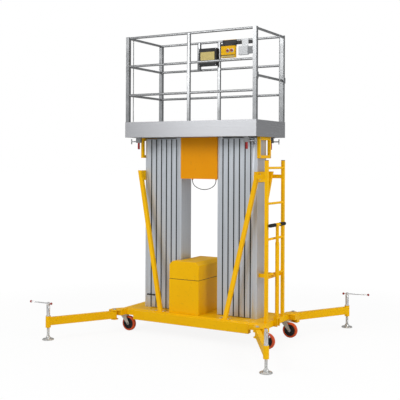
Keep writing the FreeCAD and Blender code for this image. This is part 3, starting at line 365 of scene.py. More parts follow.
def finished_mesh(name, work, material):
    # The collected shapes as one mesh with outward normals and one material.
    bmesh.ops.recalc_face_normals(work, faces=work.faces)
    mesh = bpy.data.meshes.new(name)
    work.to_mesh(mesh)
    work.free()
    mesh.materials.append(material)
    return mesh


def new_piece(name, work, material, body, stands_for=()):
    piece = bpy.data.objects.new(name, finished_mesh(name, work, material))
    scene.collection.objects.link(piece)
    return settle(piece, body, stands_for)


def add_block(work, low, high):
    size = [h - l for l, h in zip(low, high)]
    middle = [(h + l) / 2 for l, h in zip(low, high)]
    bmesh.ops.create_cube(work, size=1, matrix=Matrix.Translation(middle)
                          @ Matrix.Diagonal((*size, 1)))


def new_blocks(name, boxes, material, body, edge=0):
    # Plain blocks as one piece, given by their low and high corners, with rounded edges if asked.
    work = bmesh.new()
    for low, high in boxes:
        add_block(work, low, high)
    piece = new_piece(name, work, material, body)
    if edge:
        round_edges(piece, edge, 3)


def new_growth(name, inputs):
    # A geometry group that starts from the carrier's mesh; its other inputs are named here.
    group = bpy.data.node_groups.new(name, "GeometryNodeTree")
    group.interface.new_socket("Geometry", in_out="INPUT", socket_type="NodeSocketGeometry")
    for label, kind, default in inputs:
        socket = group.interface.new_socket(label, in_out="INPUT", socket_type=kind)
        if default is not None:
            socket.default_value = default
    group.interface.new_socket("Material", in_out="INPUT", socket_type="NodeSocketMaterial")
    group.interface.new_socket("Geometry", in_out="OUTPUT", socket_type="NodeSocketGeometry")
    return group, group.nodes.new("NodeGroupInput"), group.nodes.new("NodeGroupOutput")


def end_growth(group, given, result, instances):
    # Every group ends alike: real geometry, then its finish.
    real = group.nodes.new("GeometryNodeRealizeInstances")
    coloured = group.nodes.new("GeometryNodeSetMaterial")
    wire(group, instances, real.inputs["Geometry"])
    wire(group, real.outputs["Geometry"], coloured.inputs["Geometry"])
    wire(group, given.outputs["Material"], coloured.inputs["Material"])
    wire(group, coloured.outputs["Geometry"], result.inputs["Geometry"])


def grown(piece, group, settings, body):
    # Runs the group on the piece, keeps what it makes as the mesh, with its place in it, and drops
    # the modifier.
    modifier = piece.modifiers.new(group.name, "NODES")
    modifier.node_group = group
    for item in group.interface.items_tree:
        if item.name in settings and item.in_out == "INPUT":
            modifier[item.identifier] = settings[item.name]
    bpy.context.view_layer.update()
    ready = piece.evaluated_get(bpy.context.evaluated_depsgraph_get())
    mesh = bpy.data.meshes.new_from_object(ready)
    mesh.transform(piece.matrix_world)
    piece.matrix_world = Matrix.Identity(4)
    piece.modifiers.remove(modifier)
    piece.data = mesh
    return settle(piece, body)


def carrier(name, points, edges=()):
    mesh = bpy.data.meshes.new(name)
    mesh.from_pydata(points, edges, [])
    piece = bpy.data.objects.new(name, mesh)
    scene.collection.objects.link(piece)
    return piece


# Hexagon bolts on washers, one on each point of the carrier, standing along its "facing".
WASHER_SHARE = 1.45
WASHER_THICKNESS = 0.003
bolt_group, given, result = new_growth(
    "hexagon_bolts", (("Radius", "NodeSocketFloat", 0.006), ("Height", "NodeSocketFloat", 0.005)))
facing = bolt_group.nodes.new("GeometryNodeInputNamedAttribute")
facing.data_type = "FLOAT_VECTOR"
facing.inputs["Name"].default_value = "facing"
upright = bolt_group.nodes.new("FunctionNodeAlignRotationToVector")
upright.axis = "Z"
head = shader_node(bolt_group, "GeometryNodeMeshCylinder", Vertices=6)
washer = shader_node(bolt_group, "GeometryNodeMeshCylinder", Vertices=24, Depth=WASHER_THICKNESS)
wider = math_node(bolt_group, "MULTIPLY", WASHER_SHARE)
lift = bolt_group.nodes.new("ShaderNodeCombineXYZ")
half = math_node(bolt_group, "MULTIPLY", 0.5)
raised = bolt_group.nodes.new("GeometryNodeTransform")
bolt = bolt_group.nodes.new("GeometryNodeJoinGeometry")
placed = bolt_group.nodes.new("GeometryNodeInstanceOnPoints")
wire(bolt_group, given.outputs["Radius"], head.inputs["Radius"])
wire(bolt_group, given.outputs["Height"], head.inputs["Depth"])
wire(bolt_group, given.outputs["Radius"], wider.inputs[0])
wire(bolt_group, wider.outputs["Value"], washer.inputs["Radius"])
wire(bolt_group, given.outputs["Height"], half.inputs[0])
wire(bolt_group, half.outputs["Value"], lift.inputs["Z"])
wire(bolt_group, head.outputs["Mesh"], raised.inputs["Geometry"])
wire(bolt_group, lift.outputs["Vector"], raised.inputs["Translation"])
wire(bolt_group, raised.outputs["Geometry"], bolt.inputs["Geometry"])
wire(bolt_group, washer.outputs["Mesh"], bolt.inputs["Geometry"])
wire(bolt_group, facing.outputs["Attribute"], upright.inputs["Vector"])
wire(bolt_group, given.outputs["Geometry"], placed.inputs["Points"])
wire(bolt_group, bolt.outputs["Geometry"], placed.inputs["Instance"])
wire(bolt_group, upright.outputs["Rotation"], placed.inputs["Rotation"])
end_growth(bolt_group, given, result, placed.outputs["Instances"])

# Weld beads: overlapping ripples of slightly different sizes along the carrier's edges.
RIPPLE_SIZES = (0.85, 1.1)
RIPPLE_STEP = 0.8
bead_group, given, result = new_growth(
    "weld_beads", (("Size", "NodeSocketFloat", 0.003), ("Spacing", "NodeSocketFloat", 0.0025),
                   ("Seed", "NodeSocketInt", 3)))
line = bead_group.nodes.new("GeometryNodeMeshToCurve")
steps = bead_group.nodes.new("GeometryNodeResampleCurve")
steps.mode = "LENGTH"
ripple = shader_node(bead_group, "GeometryNodeMeshIcoSphere", Subdivisions=2)
uneven = bead_group.nodes.new("FunctionNodeRandomValue")
uneven.inputs[2].default_value = RIPPLE_SIZES[0]
uneven.inputs[3].default_value = RIPPLE_SIZES[1]
placed = bead_group.nodes.new("GeometryNodeInstanceOnPoints")
wire(bead_group, given.outputs["Geometry"], line.inputs["Mesh"])
wire(bead_group, line.outputs["Curve"], steps.inputs["Curve"])
wire(bead_group, given.outputs["Spacing"], steps.inputs["Length"])
wire(bead_group, given.outputs["Size"], ripple.inputs["Radius"])
wire(bead_group, given.outputs["Seed"], uneven.inputs["Seed"])
wire(bead_group, steps.outputs["Curve"], placed.inputs["Points"])
wire(bead_group, ripple.outputs["Mesh"], placed.inputs["Instance"])
wire(bead_group, uneven.outputs[1], placed.inputs["Scale"])
end_growth(bead_group, given, result, placed.outputs["Instances"])


def bolted(name, places, body, material, radius=0.006, height=0.005):
    piece = carrier(name, [point for point, _ in places])
    layer = piece.data.attributes.new("facing", "FLOAT_VECTOR", "POINT")
    for entry, (_, direction) in zip(layer.data, places):
        entry.vector = direction
    return grown(piece, bolt_group, {"Radius": radius, "Height": height, "Material": material},
                 body)


def welded(name, runs, body, material, size=0.003):
    points, edges = [], []
    for run in runs:
        edges += [(len(points) + i, len(points) + i + 1) for i in range(len(run) - 1)]
        points += run
    return grown(carrier(name, points, edges), bead_group,
                 {"Size": size, "Spacing": size * RIPPLE_STEP, "Seed": 3, "Material": material},
                 body)


def ring(centre, radius, axis, start=0, sweep=360, steps=20):
    # Points of an arc round an axis, for the weld at the end of a round tube.
    turn = AXIS_TURN[axis]
    angles = [math.radians(start + sweep * i / steps) for i in range(steps + 1)]
    return [tuple(Vector(centre) + turn @ Vector((radius * math.cos(a), radius * math.sin(a), 0)))
            for a in angles]


# corner: its side along X, its side along Y
CORNERS = {"fr": (1, -1), "br": (1, 1), "fl": (-1, -1), "bl": (-1, 1)}
CASTOR_X = 0.835
CASTOR_Y = 0.29
PLATE_BOLT_X = 0.043
PLATE_BOLT_Y = 0.036
PLATE_BOTTOM = 0.173
FRAME_END = 0.860
FRAME_SIDE = 0.330
BEAM_TOP = 0.235
BEAM_WIDTH = 0.060
LONG_BEAM_END = 0.700
END_BEAM_BOTTOM = 0.180
LUG_EDGE = 0.795
SEAM_OUT = 0.001
dressed("chassis_frame", yellow_paint, edge=0.003)
dressed("castor_plates", galvanised)
plate_bolts = [((side_x * CASTOR_X + x, side_y * CASTOR_Y + y, PLATE_BOTTOM), (0, 0, -1))
               for side_x, side_y in CORNERS.values()
               for x in (-PLATE_BOLT_X, PLATE_BOLT_X) for y in (-PLATE_BOLT_Y, PLATE_BOLT_Y)]
bolted("castor_plate_bolts", plate_bolts, "root", galvanised, radius=0.0052)
# At each corner the long beam's end is welded to the end beam, on its face and below it, and the
# outrigger's lug along the end beam's top edge and up its own inner edge.
seam_y = FRAME_SIDE + SEAM_OUT
corner_seams = (
    ((LONG_BEAM_END, seam_y, END_BEAM_BOTTOM + SEAM_OUT), (LONG_BEAM_END, seam_y, BEAM_TOP - SEAM_OUT)),
    ((LONG_BEAM_END + SEAM_OUT, FRAME_SIDE - SEAM_OUT, END_BEAM_BOTTOM),
     (LONG_BEAM_END + SEAM_OUT, FRAME_SIDE - BEAM_WIDTH + SEAM_OUT, END_BEAM_BOTTOM)),
    ((LUG_EDGE + SEAM_OUT, seam_y, BEAM_TOP + SEAM_OUT),
     (FRAME_END - 2 * SEAM_OUT, seam_y, BEAM_TOP + SEAM_OUT)),
    ((LUG_EDGE - SEAM_OUT / 2, seam_y, END_BEAM_BOTTOM + 2 * SEAM_OUT),
     (LUG_EDGE - SEAM_OUT / 2, seam_y, BEAM_TOP - 2 * SEAM_OUT)))
seams = [[(side_x * x, side_y * y, z) for x, y, z in seam]
         for side_x, side_y in CORNERS.values() for seam in corner_seams]
welded("chassis_seams", seams, "root", yellow_paint, size=0.0035)

# Outriggers. Welded corner forks and box-tube arms in the same paint, swinging on loose steel
# pins with domed heads; each arm ends in an upright sleeve that carries the screw jack.
for corner in CORNERS:
    dressed(f"outrigger_lug_{corner}", yellow_paint, edge=0.002)
    dressed(f"outrigger_arm_{corner}", yellow_paint, edge=0.003)
dressed("outrigger_pins", galvanised, edge=0.003)

# Jacks. A bright tube over the sleeve, a threaded rod with a turned floor pad below, and a bar
# that slides through the head, with a dark red knob at each end.
ROD_START = 0.040
ROD_THREADED = 0.044
THREAD_SCALE = 55.0
BAR_HEIGHT = 0.378
KNOB_RADIUS = 0.013
KNOB_REACHES = (-0.040, 0.235)
# corner: direction of the bar in degrees from the X axis
BAR_DIRECTIONS = {"fr": -59, "br": 12, "fl": 180, "bl": 135}
JACK_TUBE = ((0.0176, 0.2465), (0.0235, 0.2465), (0.0235, 0.2515), (0.0186, 0.2545),
             (0.0186, 0.3645), (0.0170, 0.3668), (0.0170, 0.360), (0.0176, 0.300))
zinc = finish("zinc", (0.50, 0.505, 0.51), (0.68, 0.685, 0.69), 0.85, (0.24, 0.36),
              scale=9.0, fine_scale=200.0, bump=0.04)
bright_steel = finish("bright_steel", (0.84, 0.84, 0.84), (0.92, 0.92, 0.92), 0.75, (0.25, 0.35),
                      scale=8.0, fine_scale=200.0, bump=0.04)
red_plastic = finish("red_plastic", (0.50, 0.03, 0.03), (0.66, 0.07, 0.05), 0.0, (0.35, 0.5),
                     scale=20.0, bump=0.1)
threaded_steel = finish("threaded_steel", (0.78, 0.78, 0.77), (0.88, 0.88, 0.87), 0.75, (0.3, 0.45),
                        scale=45.0, fine_scale=300.0, bump=0.12)
tree = threaded_steel.node_tree
height_node = tree.nodes.new("ShaderNodeTexCoord")
split_node = tree.nodes.new("ShaderNodeSeparateXYZ")
ridge_node = shader_node(tree, "ShaderNodeTexWave", Scale=THREAD_SCALE)
ridge_node.bands_direction = "Z"
band_node = shader_node(tree, "ShaderNodeMapRange", From_Min=ROD_START, From_Max=ROD_THREADED)
crest_node = math_node(tree, "MULTIPLY")
thread_node = shader_node(tree, "ShaderNodeBump", Strength=0.9, Distance=0.0015)
wire(tree, height_node.outputs["Object"], ridge_node.inputs["Vector"])
wire(tree, height_node.outputs["Object"], split_node.inputs["Vector"])
wire(tree, split_node.outputs["Z"], band_node.inputs["Value"])
wire(tree, ridge_node.outputs["Fac"], crest_node.inputs[0])
wire(tree, band_node.outputs["Result"], crest_node.inputs[1])
wire(tree, crest_node.outputs["Value"], thread_node.inputs["Height"])
wire(tree, thread_node.outputs["Normal"], tree.nodes["Principled BSDF"].inputs["Normal"])
for corner, direction in BAR_DIRECTIONS.items():
    dressed(f"jack_foot_{corner}", threaded_steel, edge=0.001)
    dressed(f"jack_bar_{corner}", bright_steel, edge=0.001)
    low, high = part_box(f"jack_foot_{corner}")
    jack = Vector(((low[0] + high[0]) / 2, (low[1] + high[1]) / 2, 0))
    work = bmesh.new()
    add_turned(work, JACK_TUBE, jack)
    new_piece(f"jack_tube_{corner}", work, bright_steel, f"outrigger_{corner}")
    work = bmesh.new()
    along = Vector((math.cos(math.radians(direction)), math.sin(math.radians(direction)), 0))
    for reach in KNOB_REACHES:
        knob = jack + along * reach + Vector((0, 0, BAR_HEIGHT))
        bmesh.ops.create_uvsphere(work, u_segments=24, v_segments=14, radius=KNOB_RADIUS,
                                  matrix=Matrix.Translation(knob))
    new_piece(f"jack_knobs_{corner}", work, red_plastic, f"outrigger_{corner}")

# Castors. Pressed galvanised forks that trail behind their swivel; the wheels have a cast
# orange-red tread on a black spoked core, and a nut closes each end of the axle.
red_tyre = finish("red_tyre", (0.78, 0.26, 0.06), (0.86, 0.33, 0.09), 0.0, (0.38, 0.5),
                  scale=14.0, bump=0.12)
dark_plastic = finish("dark_plastic", (0.06, 0.06, 0.065), (0.10, 0.10, 0.105), 0.0, (0.45, 0.6),
                      scale=20.0, fine_scale=900.0, bump=0.2)
TREAD = ((0.0612, -0.0196), (0.0735, -0.0208), (0.0782, -0.0172), (0.0800, -0.011), (0.0800, 0.011),
         (0.0782, 0.0172), (0.0735, 0.0208), (0.0612, 0.0196))
CORE = ((0.0066, -0.0250), (0.0190, -0.0250), (0.0215, -0.0215), (0.0215, -0.0125), (0.0520, -0.0105),
        (0.0560, -0.0178), (0.0610, -0.0184), (0.0610, 0.0184), (0.0560, 0.0178), (0.0520, 0.0105),
        (0.0215, 0.0125), (0.0215, 0.0215), (0.0190, 0.0250), (0.0066, 0.0250))
AXLE_NUT = ((0, 0.0), (0.0105, 0.0), (0.0110, 0.001), (0.0110, 0.0065), (0.0095, 0.008), (0, 0.008))
NUT_OUT = Vector((0, 0.0305, 0))
SPOKES = 6
SPOKE_MIDDLE = (0.0385, 0, 0)
SPOKE_SIZE = (0.037, 0.032, 0.008)
for corner in CORNERS:
    dressed(f"castor_fork_{corner}", galvanised, edge=0.001)
    low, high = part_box(f"castor_wheel_{corner}")
    hub = (Vector(low) + Vector(high)) / 2
    work = bmesh.new()
    add_turned(work, TREAD, hub, axis="y", sides=64)
    new_piece(f"castor_tread_{corner}", work, red_tyre, f"wheel_{corner}",
              (f"castor_wheel_{corner}",))
    work = bmesh.new()
    add_turned(work, CORE, hub, axis="y", sides=64)
    for spoke in range(SPOKES):
        turn = Matrix.Rotation(spoke * 2 * math.pi / SPOKES, 4, "Y")
        bmesh.ops.create_cube(work, size=1, matrix=Matrix.Translation(hub) @ turn
                              @ Matrix.Translation(SPOKE_MIDDLE)
                              @ Matrix.Diagonal((*SPOKE_SIZE, 1)))
    new_piece(f"castor_core_{corner}", work, dark_plastic, f"wheel_{corner}",
              (f"castor_wheel_{corner}",))
    work = bmesh.new()
    add_turned(work, AXLE_NUT, hub + NUT_OUT, axis="y", sides=6)
    add_turned(work, AXLE_NUT, hub - NUT_OUT, axis="-y", sides=6)
    new_piece(f"castor_nuts_{corner}", work, zinc, f"castor_{corner}")

# Masts. Seven interlocking satin anodised extrusions on each side, drawn lengthwise, so the
# faint die lines run upright. A dark strip with a lip over each narrow gap between them is painted shade,
# standing for the shadow down in the gap.
aluminium = finish("aluminium", (0.745, 0.765, 0.79), (0.845, 0.865, 0.89), 0.7, (0.34, 0.46),
                   scale=5.0, stretch=(14, 14, 0.25), fine_scale=90.0, bump=0.12, grime=0.06)
MAST_OUTER = 0.690
FIXED_PITCH = 0.080
SECTION_PITCH = 0.065
SECTIONS = 7
STRIP_BOTTOM = 0.249
STRIP_TOP = 2.105
# the strip and its lip: from and to across the gap, from and to out of the mast's face
STRIP_AND_LIP = ((0.0003, 0.0027, 0.098, 0.1056), (-0.0050, 0.0080, 0.1053, 0.1066))
for side, sign in (("left", -1), ("right", 1)):
    for number in range(1, SECTIONS + 1):
        node = f"mast_{side}_{number}"
        dressed(node, aluminium, edge=0.003)
        if number == 1:
            continue
        gap = MAST_OUTER - FIXED_PITCH - (number - 2) * SECTION_PITCH
        strips = []
        for face in (-1, 1):
            for near, far, deep, proud in STRIP_AND_LIP:
                xs = sorted((sign * (gap + near), sign * (gap + far)))
                ys = sorted((face * deep, face * proud))
                strips.append(((xs[0], ys[0], STRIP_BOTTOM), (xs[1], ys[1], STRIP_TOP)))
        new_blocks(f"gap_shade_strip_{side}_{number}", strips, dark_plastic, body_of_node[node])

# Transport pin. A black pin in two eyes low on the fixed left section; it reaches across the next
# section and keeps it from sliding up on the road.
PIN_END = Vector((-0.660, -0.1155, 0.383))
PIN = ((0, 0), (0.0045, 0), (0.0055, 0.002), (0.0055, 0.078), (0.0085, 0.079), (0.0085, 0.103),
       (0.0070, 0.105), (0, 0.105))
EYE_REACHES = (0.008, 0.036)
EYE_THICKNESS = 0.005
EYE_FRONT = 0.007
EYE_HALF_HEIGHT = 0.0075
EYE_ROOT = 0.0004
mast_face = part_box("mast_left_1")[0][1]
work = bmesh.new()
add_turned(work, PIN, PIN_END, axis="x", sides=20)
for reach in EYE_REACHES:
    eye = PIN_END + Vector((reach, 0, 0))
    add_block(work, (eye.x, eye.y - EYE_FRONT, eye.z - EYE_HALF_HEIGHT),
              (eye.x + EYE_THICKNESS, mast_face + EYE_ROOT, eye.z + EYE_HALF_HEIGHT))
new_piece("transport_pin", work, dark_plastic, "root")

# Collars, braces, ladder and tow handle. Square and round tube, welded up and painted as the
# chassis is; black caps close the ladder's stiles, and rubber grips the handle's cross bar.
rubber = finish("rubber", (0.02, 0.02, 0.02), (0.05, 0.05, 0.05), 0.0, (0.55, 0.75),
                scale=30.0, fine_scale=700.0, bump=0.3)
# Bolts hold the braces' shoes to the floor and the collars to the masts.
SHOE_X = 0.395
SHOE_Y = 0.25
SHOE_TOP = 0.247
SHOE_BOLT_X = 0.046
SHOE_BOLT_Y = 0.022
COLLAR_BOLT_Y = 0.09
COLLAR_BOLT_HEIGHTS = (1.682, 1.737)
dressed("mast_collars", yellow_paint, edge=0.002)
dressed("mast_braces", yellow_paint, edge=0.004)
collar_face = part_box("mast_collars")[1][0]
root_bolts = [((side_x * SHOE_X + x, side_y * SHOE_Y + y, SHOE_TOP), (0, 0, 1))
              for side_x, side_y in CORNERS.values()
              for x in (-SHOE_BOLT_X, SHOE_BOLT_X) for y in (-SHOE_BOLT_Y, SHOE_BOLT_Y)]
root_bolts += [((side_x * collar_face, side_y * COLLAR_BOLT_Y, z), (side_x, 0, 0))
               for side_x, side_y in CORNERS.values() for z in COLLAR_BOLT_HEIGHTS]
bolted("brace_and_collar_bolts", root_bolts, "root", galvanised)
STILE_Y = 0.205
STILE_HALF_WIDTH = 0.019
STILE_X = (0.825, 0.855)
CAP_INSET = 0.0005
CAP_HEIGHT = 0.005
FIRST_RUNG = 0.715
RUNG_SPACING = 0.363
RUNGS = 4
RUNG_WELD_Y = 0.1865
RUNG_WELD_RADIUS = 0.0128
dressed("ladder", yellow_paint, edge=0.003)
rung_rings = [ring((sum(STILE_X) / 2, side_y * RUNG_WELD_Y, FIRST_RUNG + RUNG_SPACING * rung),
                   RUNG_WELD_RADIUS, "y")
              for rung in range(RUNGS) for side_y in (-1, 1)]
welded("rung_welds", rung_rings, "root", yellow_paint, size=0.0025)
stile_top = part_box("ladder")[1][2]
cap_half = STILE_HALF_WIDTH - CAP_INSET
ladder_caps = [((STILE_X[0] + CAP_INSET, side_y * STILE_Y - cap_half, stile_top - CAP_INSET),
                (STILE_X[1] - CAP_INSET, side_y * STILE_Y + cap_half, stile_top + CAP_HEIGHT))
               for side_y in (-1, 1)]
new_blocks("ladder_caps", ladder_caps, dark_plastic, "root", edge=0.002)
dressed("tow_bracket", yellow_paint, edge=0.002)
dressed("tow_handle", yellow_paint, edge=0.001)
CROSS_BAR_X = 0.884
CROSS_BAR_Z = 1.222
GRIP_RIBS = 12
RIB_START = 0.004
RIB_SPACING = 0.0095
grip = [(0, -0.0035), (0.0145, -0.0035), (0.0178, -0.0010)]
for rib in range(GRIP_RIBS):
    at = RIB_START + rib * RIB_SPACING
    grip += [(0.0174, at), (0.0188, at + 0.0025), (0.0188, at + 0.0060), (0.0174, at + 0.0085)]
grip += [(0.0196, 0.1200), (0.0196, 0.1225), (0, 0.1225)]
low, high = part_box("tow_handle")
work = bmesh.new()
add_turned(work, grip, Vector((CROSS_BAR_X, low[1], CROSS_BAR_Z)), axis="y")
add_turned(work, grip, Vector((CROSS_BAR_X, high[1], CROSS_BAR_Z)), axis="-y")
new_piece("tow_grips", work, rubber, "tow_handle")

# Power pack. Folded sheet cabinet with a lift-off lid that sits over a narrow shadow joint. As in
# the photograph it runs on behind the right mast, here to the edge of the floor plate.
CABINET_REAR = 0.284
REAR_BAND = 0.006
# The thin black band set into the joint below the lid is painted shadow, standing for the dark shadow
# joint.
JOINT_SHADE_INSET = 0.0018
JOINT_SHADE_REAR = CABINET_REAR - 0.002
JOINT_SHADE_BOTTOM = 0.6005
JOINT_SHADE_TOP = 0.6085
WING_REAR = -0.122
WING_RIGHT = -0.205
low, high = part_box("power_cabinet")
for node, edge in (("power_cabinet", 0.005), ("power_cabinet_lid", 0.006)):
    cover = dressed(node, yellow_paint, edge=edge)
    for vert in cover.data.vertices:
        # the rear wall's own points
        if vert.co.y > high[1] - REAR_BAND:
            vert.co.y += CABINET_REAR - high[1]
joint_shade_right = high[0] - JOINT_SHADE_INSET
joint_shade_step = WING_REAR - JOINT_SHADE_INSET
lid_joint_shade = (((low[0] + JOINT_SHADE_INSET, low[1] + JOINT_SHADE_INSET, JOINT_SHADE_BOTTOM), (joint_shade_right, joint_shade_step, JOINT_SHADE_TOP)),
            ((WING_RIGHT + JOINT_SHADE_INSET, joint_shade_step, JOINT_SHADE_BOTTOM), (joint_shade_right, JOINT_SHADE_REAR, JOINT_SHADE_TOP)))
new_blocks("lid_joint_shade", lid_joint_shade, rubber, "root")

# Platform. Brushed stainless fascia round a tube frame, with a painted carriage underneath;
# its clamps are bright steel with red grips.
# The carriage's paint is the chassis yellow made darker and more orange: painted shade from the deck and
# fascia above it.
shaded_yellow_paint = finish("shaded_yellow_paint", (0.90, 0.56, 0.0), (0.93, 0.62, 0.005), 0.0, (0.32, 0.48),
                     scale=3.0, fine_scale=260.0, bump=0.25, bump_depth=0.0003, specular=0.12)
stainless = finish("stainless", (0.74, 0.74, 0.75), (0.82, 0.82, 0.83), 0.92, (0.20, 0.28),
                   scale=3.0, stretch=(0.6, 0.6, 60), fine_scale=12.0, bump=0.04, grime=0.03)
dressed("deck_fascia", stainless, edge=0.001)
deck_metal = finish("deck_metal", (0.50, 0.505, 0.51), (0.66, 0.665, 0.67), 0.85, (0.38, 0.55),
                    scale=4.0, fine_scale=220.0, bump=0.12, grime=0.25)
dressed("deck", deck_metal, edge=0.001)
BAR_HALF_LENGTH = 0.013
BAR_SHARES = (1, 0.25, 0.12)
BAR_LEAN = math.radians(45)
tread_group, given, result = new_growth(
    "tread_pattern", (("Length", "NodeSocketFloat", 1.4), ("Width", "NodeSocketFloat", 0.6),
                      ("Columns", "NodeSocketInt", 30), ("Rows", "NodeSocketInt", 14)))
field = tread_group.nodes.new("GeometryNodeMeshGrid")
bar = shader_node(tread_group, "GeometryNodeMeshIcoSphere", Radius=BAR_HALF_LENGTH, Subdivisions=2)
flat = shader_node(tread_group, "GeometryNodeTransform", Scale=BAR_SHARES)
number = tread_group.nodes.new("GeometryNodeInputIndex")
column = math_node(tread_group, "DIVIDE")
whole = math_node(tread_group, "FLOOR")
total = math_node(tread_group, "ADD")
odd = math_node(tread_group, "FLOORED_MODULO", 2)
leaning = shader_node(tread_group, "ShaderNodeMapRange", To_Min=BAR_LEAN, To_Max=-BAR_LEAN)
spun = tread_group.nodes.new("ShaderNodeCombineXYZ")
placed = tread_group.nodes.new("GeometryNodeInstanceOnPoints")
for label, socket in (("Length", "Size X"), ("Width", "Size Y"), ("Columns", "Vertices X"),
                      ("Rows", "Vertices Y")):
    wire(tread_group, given.outputs[label], field.inputs[socket])
wire(tread_group, bar.outputs["Mesh"], flat.inputs["Geometry"])
wire(tread_group, number.outputs["Index"], column.inputs[0])
wire(tread_group, given.outputs["Rows"], column.inputs[1])
wire(tread_group, column.outputs["Value"], whole.inputs[0])
wire(tread_group, whole.outputs["Value"], total.inputs[0])
wire(tread_group, number.outputs["Index"], total.inputs[1])
wire(tread_group, total.outputs["Value"], odd.inputs[0])
wire(tread_group, odd.outputs["Value"], leaning.inputs["Value"])
wire(tread_group, leaning.outputs["Result"], spun.inputs["Z"])
wire(tread_group, field.outputs["Mesh"], placed.inputs["Points"])
wire(tread_group, flat.outputs["Geometry"], placed.inputs["Instance"])
wire(tread_group, spun.outputs["Vector"], placed.inputs["Rotation"])
end_growth(tread_group, given, result, placed.outputs["Instances"])
tread = carrier("deck_tread", [(0, 0, 0)])
tread.location.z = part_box("deck")[1][2]
grown(tread, tread_group, {"Length": 1.44, "Width": 0.60, "Columns": 33, "Rows": 15,
                           "Material": deck_metal}, "platform")
FRAME_FACE = 0.730
FRAME_BOLT_Y = 0.127
FRAME_BOLT_HEIGHTS = (1.918, 2.106)
CLAMPS_FROM_Y = 0.2
CLAMP_X = 0.657
CLAMP_Y = 0.295
CLAMP_GRIP = ((0, 1.9952), (0.0085, 1.9952), (0.0118, 1.9985), (0.0125, 2.020), (0.0118, 2.0655),
              (0, 2.0655))
frame_bolts = [((side_x * FRAME_FACE, side_y * FRAME_BOLT_Y, z), (side_x, 0, 0))
               for side_x, side_y in CORNERS.values() for z in FRAME_BOLT_HEIGHTS]
bolted("bracket_bolts", frame_bolts, "platform", galvanised)
dressed("lift_carriage", shaded_yellow_paint, edge=0.003)
dressed("deck_brackets", yellow_paint, edge=0.003, part="frames",
        wanted=lambda at: abs(at.y) < CLAMPS_FROM_Y)
dressed("deck_brackets", zinc, edge=0.002, part="clamps",
        wanted=lambda at: abs(at.y) > CLAMPS_FROM_Y)
work = bmesh.new()
for side_x, side_y in CORNERS.values():
    add_turned(work, CLAMP_GRIP, Vector((side_x * CLAMP_X, side_y * CLAMP_Y, 0)))
new_piece("clamp_grips", work, red_plastic, "platform")

# Carriage cable. A slack black cable that hangs from one gland of the carriage to the other; it
# follows the construction's route.
CARRIAGE_HALF_WIDTH = 0.223
GLAND_SHARE = 0.655
GLAND_HEIGHT = 1.664
SPAN = CARRIAGE_HALF_WIDTH * GLAND_SHARE
# share of the way from gland to gland, millimetres above the glands
CABLE_ROUTE = ((0, 0), (0, -28), (0.096, -68), (0.288, -96), (0.5, -106), (0.712, -96), (0.904, -68),
               (1, -28), (1, 0))
cable_points = [(-SPAN + 2 * SPAN * share, 0, GLAND_HEIGHT + drop / 1000)
                for share, drop in CABLE_ROUTE]
cable_curve = bpy.data.curves.new("carriage_cable_run", "CURVE")
cable_curve.dimensions = "3D"
cable_curve.bevel_depth = 0.004
cable_curve.bevel_resolution = 6
cable_curve.resolution_u = 16
spline = cable_curve.splines.new("NURBS")
spline.points.add(len(cable_points) - 1)
for point, at in zip(spline.points, cable_points):
    point.co = (*at, 1)
spline.order_u = 3
spline.use_endpoint_u = True
cable_curve.materials.append(rubber)
cable = bpy.data.objects.new("carriage_cable_run", cable_curve)
scene.collection.objects.link(cable)
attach(cable, "platform")
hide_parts("carriage_cable")

# Guard rails. Square posts and round rails, bright zinc plated after welding, and the entry bar
# that slides up on the right end's posts.
for node in ("guard_rail_front", "guard_rail_back", "guard_rail_ends", "entry_bar"):
    dressed(node, zinc, edge=0.002)
LONG_RAIL_Y = 0.337
END_RAIL_X = 0.770
CORNER_FACE_X = 0.7495
CORNER_FACE_Y = 0.3165
MIDDLE_FACE_X = 0.0155
RAIL_WELD_RADIUS = 0.0132
# height of the rail, where the weld's arc starts on the long rails and on the end rails, how far
# it goes round; the top rails are welded from below only
RAIL_WELDS = ((2.586, 0, 0, 360), (2.902, 0, 0, 360), (3.211, -80, 10, 160))
TOP_RAILS_ABOVE = 3
joints = []
for z, start_x, start_y, sweep in RAIL_WELDS:
    for side_y in (-1, 1):
        joints += [ring((x, side_y * LONG_RAIL_Y, z), RAIL_WELD_RADIUS, "x", start_x, sweep)
                   for x in (-CORNER_FACE_X, -MIDDLE_FACE_X, MIDDLE_FACE_X, CORNER_FACE_X)]
        for end_x in (-END_RAIL_X, END_RAIL_X):
            if end_x < 0 or z > TOP_RAILS_ABOVE:
                joints.append(ring((end_x, side_y * CORNER_FACE_Y, z), RAIL_WELD_RADIUS, "y",
                                   start_y, sweep))
welded("rail_welds", joints, "platform", zinc, size=0.0024)

# Controls. A black-framed box with a pale plate, a yellow panel with two round buttons and a
# light grey socket box, with a dark duct under the rail; all face the operator. In the photograph
# the duct goes no further than the front corner post hides.
DUCT_END = 0.470
CASE_RIGHT = 0.02
grey_plastic = finish("grey_plastic", (0.80, 0.81, 0.82), (0.87, 0.875, 0.88), 0.0, (0.45, 0.6),
                      scale=20.0, fine_scale=900.0, bump=0.15)
shaded_plastic = finish("shaded_plastic", (0.50, 0.51, 0.52), (0.58, 0.59, 0.60), 0.0, (0.45, 0.6),
                        scale=20.0, fine_scale=900.0, bump=0.15)
pale_plate = finish("pale_plate", (0.74, 0.66, 0.36), (0.84, 0.77, 0.48), 0.0, (0.40, 0.55),
                    scale=25.0, bump=0.08)
dressed("control_box", dark_plastic, edge=0.004, part="case",
        wanted=lambda at: at.x < CASE_RIGHT)
duct = dressed("control_box", dark_plastic, edge=0.001, part="duct",
               wanted=lambda at: at.x > CASE_RIGHT)
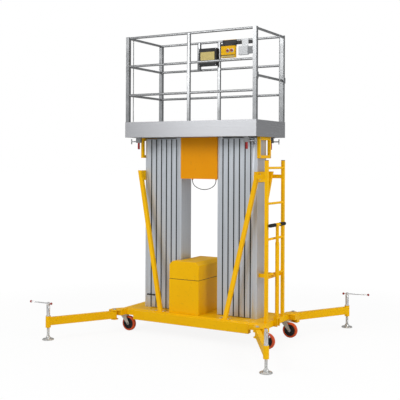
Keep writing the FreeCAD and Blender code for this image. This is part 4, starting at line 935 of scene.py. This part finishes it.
for vert in duct.data.vertices:
    vert.co.x = min(vert.co.x, DUCT_END)
dressed("control_panel", yellow_paint, edge=0.003)
# low and high corners: the hood's roof, the plate above it and the strip below the buttons
HOOD = (((0.051, 0.2725, 3.149), (0.227, 0.3205, 3.174)),
        ((0.051, 0.3170, 3.172), (0.227, 0.3245, 3.2215)),
        ((0.051, 0.2730, 3.042), (0.227, 0.2752, 3.050)))
PLUG_HOUSING = (((0.3795, 0.2830, 3.052), (0.440, 0.3195, 3.130)),)
PLATES = (((-0.208, 0.2722, 2.985), (-0.029, 0.2752, 3.098)),
          ((0.060, 0.2722, 3.023), (0.218, 0.2752, 3.040)))
new_blocks("panel_hood", HOOD, dark_plastic, "platform", edge=0.0012)
new_blocks("plug_housing", PLUG_HOUSING, shaded_plastic, "platform", edge=0.004)
dressed("socket_box", grey_plastic, edge=0.004)
new_blocks("control_plates", PLATES, pale_plate, "platform", edge=0.001)
COLLAR = ((0, 0), (0.0215, 0), (0.0215, 0.004), (0.0185, 0.0075), (0, 0.0075))
BUTTON = ((0, 0.007), (0.0135, 0.007), (0.0150, 0.0125), (0.0130, 0.0185), (0.0070, 0.0205), (0, 0.0210))
BUTTON_PLACES = (Vector((0.140, 0.2750, 3.096)), Vector((0.192, 0.2750, 3.096)))
collars = bmesh.new()
buttons = bmesh.new()
for place in BUTTON_PLACES:
    add_turned(collars, COLLAR, place, axis="-y")
    add_turned(buttons, BUTTON, place, axis="-y")
SCREW_Y = 0.2747
# one row for each box: left, right, bottom and top of its four screws
SCREW_ROWS = ((-0.223, -0.014, 2.949, 3.131), (0.062, 0.216, 3.028, 3.162), (0.278, 0.372, 3.048, 3.132))
screws = [((x, SCREW_Y, z), (0, -1, 0)) for left, right, bottom, top in SCREW_ROWS
          for x in (left, right) for z in (bottom, top)]
bolted("control_screws", screws, "platform", zinc, radius=0.0026, height=0.0016)
new_piece("button_collars", collars, grey_plastic, "platform")
new_piece("push_buttons", buttons, red_plastic, "platform")
